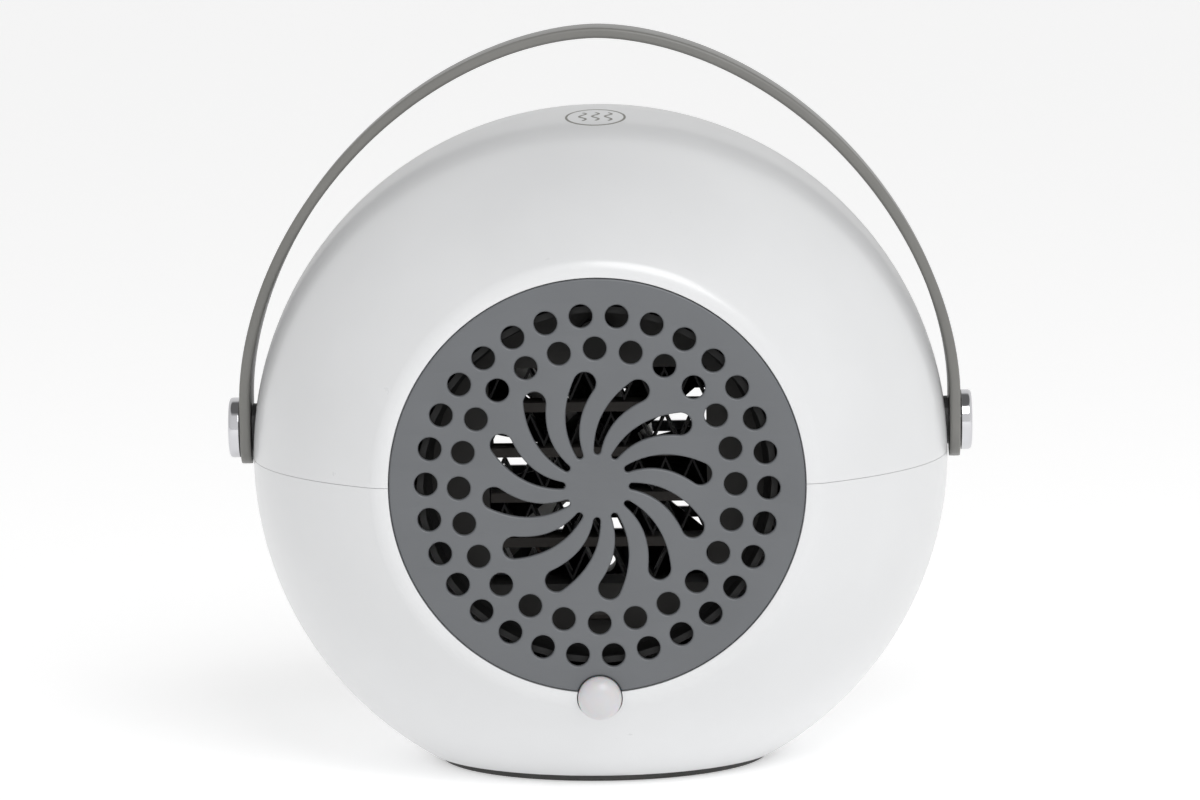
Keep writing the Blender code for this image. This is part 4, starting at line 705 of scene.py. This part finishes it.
# The selector has four marks over 270 degrees, the thermostat eleven that lengthen over 300.
for knob_name, sweep, count, mark_reach, mark_growth in (("selector", 270, 4, 0.0010, 0),
                                                         ("thermostat", 300, 11, 0.0004, 0.00010)):
    knob_place = centre_of(f"{knob_name}_knob")
    knob_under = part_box(f"{knob_name}_knob")[0][1] - middle.y
    knob_outline = [(knob_bore, 0)]
    knob_outline += eased([(knob_bore, 0, 0), (knob_radius, 0, 0.0003), (knob_radius, skirt_height, 0.0006),
                           (knob_grip + 0.0006, 0.0034, 0.0005), (knob_grip, grip_start, 0)], 4)[1:]
    knob_outline += [(knob_grip - 0.00002 * i, grip_start + 0.001 * i) for i in range(1, 6)]
    knob_outline += eased([(knob_grip - 0.0001, 0.0095, 0), (knob_grip - 0.0002, knob_top, 0.0010),
                           (0, knob_top, 0)], 6)[1:]
    knob_outline += [(0, knob_socket), (knob_bore, knob_socket)]
    knob = lathed(knob_outline, 192)
    for vert in knob.verts:
        reach = math.hypot(vert.co.x, vert.co.y)
        if reach > knob_grip - 0.0012 and 0.0040 < vert.co.z < knob_height - 0.0009:
            wave_depth = flute_depth * (0.5 - 0.5 * math.cos(knob_flutes * math.atan2(vert.co.y, vert.co.x)))
            vert.co.x *= 1 - wave_depth / reach
            vert.co.y *= 1 - wave_depth / reach
    shaft_low, shaft_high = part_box(f"{knob_name}_shaft")
    knob_at = (knob_place.x, knob_under, shaft_low[2] / 2 + shaft_high[2] / 2 - middle.z)
    knob_piece = piece(f"{knob_name}_fluted_knob", knob, knob_name, white_plastic, f"{knob_name}_knob",
                       at=knob_at, aim=(0, 1, 0), slot="white_plastic")
    pointer = bar((pointer_width, pointer_length, pointer_height),
                  (0, pointer_length / 2, knob_height - pointer_height / 2))
    bmesh.ops.bevel(pointer, geom=pointer.edges[:], offset=pointer_ease, segments=3, affect="EDGES",
                    profile=0.5)
    carve(knob_piece, "UNION", pointer, at=knob_at, aim=(0, 1, 0))
    kept(nylon, "dark_plastic", f"{knob_name}_body")
    kept(steel, "steel", f"{knob_name}_shaft")
    marks = []
    for i in range(count):
        t = math.radians(90 - sweep * i / (count - 1))
        marks.append(([(-knob_at[0] + r * math.cos(t), knob_at[2] + r * math.sin(t))
                       for r in (mark_start, mark_start + (mark_reach + mark_growth * i))], False))
    printed(f"{knob_name}_marks", marks, mark_width, "housing", white_ink, on_cover)

# ---- Room, light and camera -------------------------------------------------------------------
# A wide pale table that gives off a little light of its own. The room's plain soft light is weaker
# from above and from the left, and one soft box hangs in front, above and to the right.
floor_size, floor_depth = 60, 0.02
floor_sheet = bar((floor_size, floor_size, floor_depth), (0, 0, ring_under - floor_depth / 2))
pale_floor = moulded("pale_floor", (0.86, 0.86, 0.86), 0.7, grain=0.002, depth=0.00001, tone=0.004)
floor_shader = pale_floor.node_tree.nodes["Principled BSDF"]
floor_shader.inputs["Emission Color"].default_value = (1, 1, 1, 1)
floor_shader.inputs["Emission Strength"].default_value = 0.35
floor_mesh = bpy.data.meshes.new("floor")
floor_sheet.transform(Matrix.Translation(middle))
floor_sheet.to_mesh(floor_mesh)
floor_sheet.free()
floor = bpy.data.objects.new("floor", floor_mesh)
bpy.context.scene.collection.objects.link(floor)
floor_mesh.materials.append(pale_floor)

room = bpy.data.worlds.new("room")
bpy.context.scene.world = room
room.use_nodes = True
room_nodes, room_links = room.node_tree.nodes, room.node_tree.links
direction = room_nodes.new("ShaderNodeTexCoord")
parts = room_nodes.new("ShaderNodeSeparateXYZ")
room_links.new(direction.outputs["Generated"], parts.inputs["Vector"])
overhead = room_nodes.new("ShaderNodeValToRGB")
level, zenith = overhead.color_ramp.elements
level.position, level.color = 0.15, (1, 1, 1, 1)
zenith.position, zenith.color = 0.9, (0.2, 0.2, 0.2, 1)
overhead.color_ramp.elements.new(0.76).color = (0.96, 0.96, 0.96, 1)
room_links.new(parts.outputs["Z"], overhead.inputs["Fac"])
sideways = room_nodes.new("ShaderNodeMapRange")
sideways.inputs["From Min"].default_value = -1
sideways.inputs["From Max"].default_value = 1
sideways.inputs["To Min"].default_value = 0.74
sideways.inputs["To Max"].default_value = 0.94
room_links.new(parts.outputs["X"], sideways.inputs["Value"])
room_links.new(overhead.outputs["Color"], room_nodes["Background"].inputs["Color"])
room_links.new(sideways.outputs["Result"], room_nodes["Background"].inputs["Strength"])

key = bpy.data.lights.new("soft_box", "AREA")
key.size, key.energy = 0.9, 13
key_light = bpy.data.objects.new("soft_box", key)
bpy.context.scene.collection.objects.link(key_light)
key_light.location = middle + Vector((0.40, -1.3, 1.25))
key_light.rotation_euler = (key_light.location - middle).to_track_quat("Z", "Y").to_euler()

view_azimuth, view_elevation, view_roll = math.radians(0.8), math.radians(6.7), math.radians(-0.74)
view_distance, aim_rise = 2.1, 0.0169
camera_lens = bpy.data.cameras.new("camera")
camera_lens.lens, camera_lens.sensor_width, camera_lens.clip_end = 190, 36, 30
camera = bpy.data.objects.new("camera", camera_lens)
bpy.context.scene.collection.objects.link(camera)
outwards = Vector((math.sin(view_azimuth) * math.cos(view_elevation),
                   -math.cos(view_azimuth) * math.cos(view_elevation), math.sin(view_elevation)))
camera.location = middle + Vector((0, 0, aim_rise)) + outwards * view_distance
turn = outwards.to_track_quat("Z", "Y").to_matrix() @ Matrix.Rotation(view_roll, 3, "Z")
camera.rotation_euler = turn.to_euler()
bpy.context.scene.camera = camera
bpy.context.scene.view_settings.view_transform = "Standard"
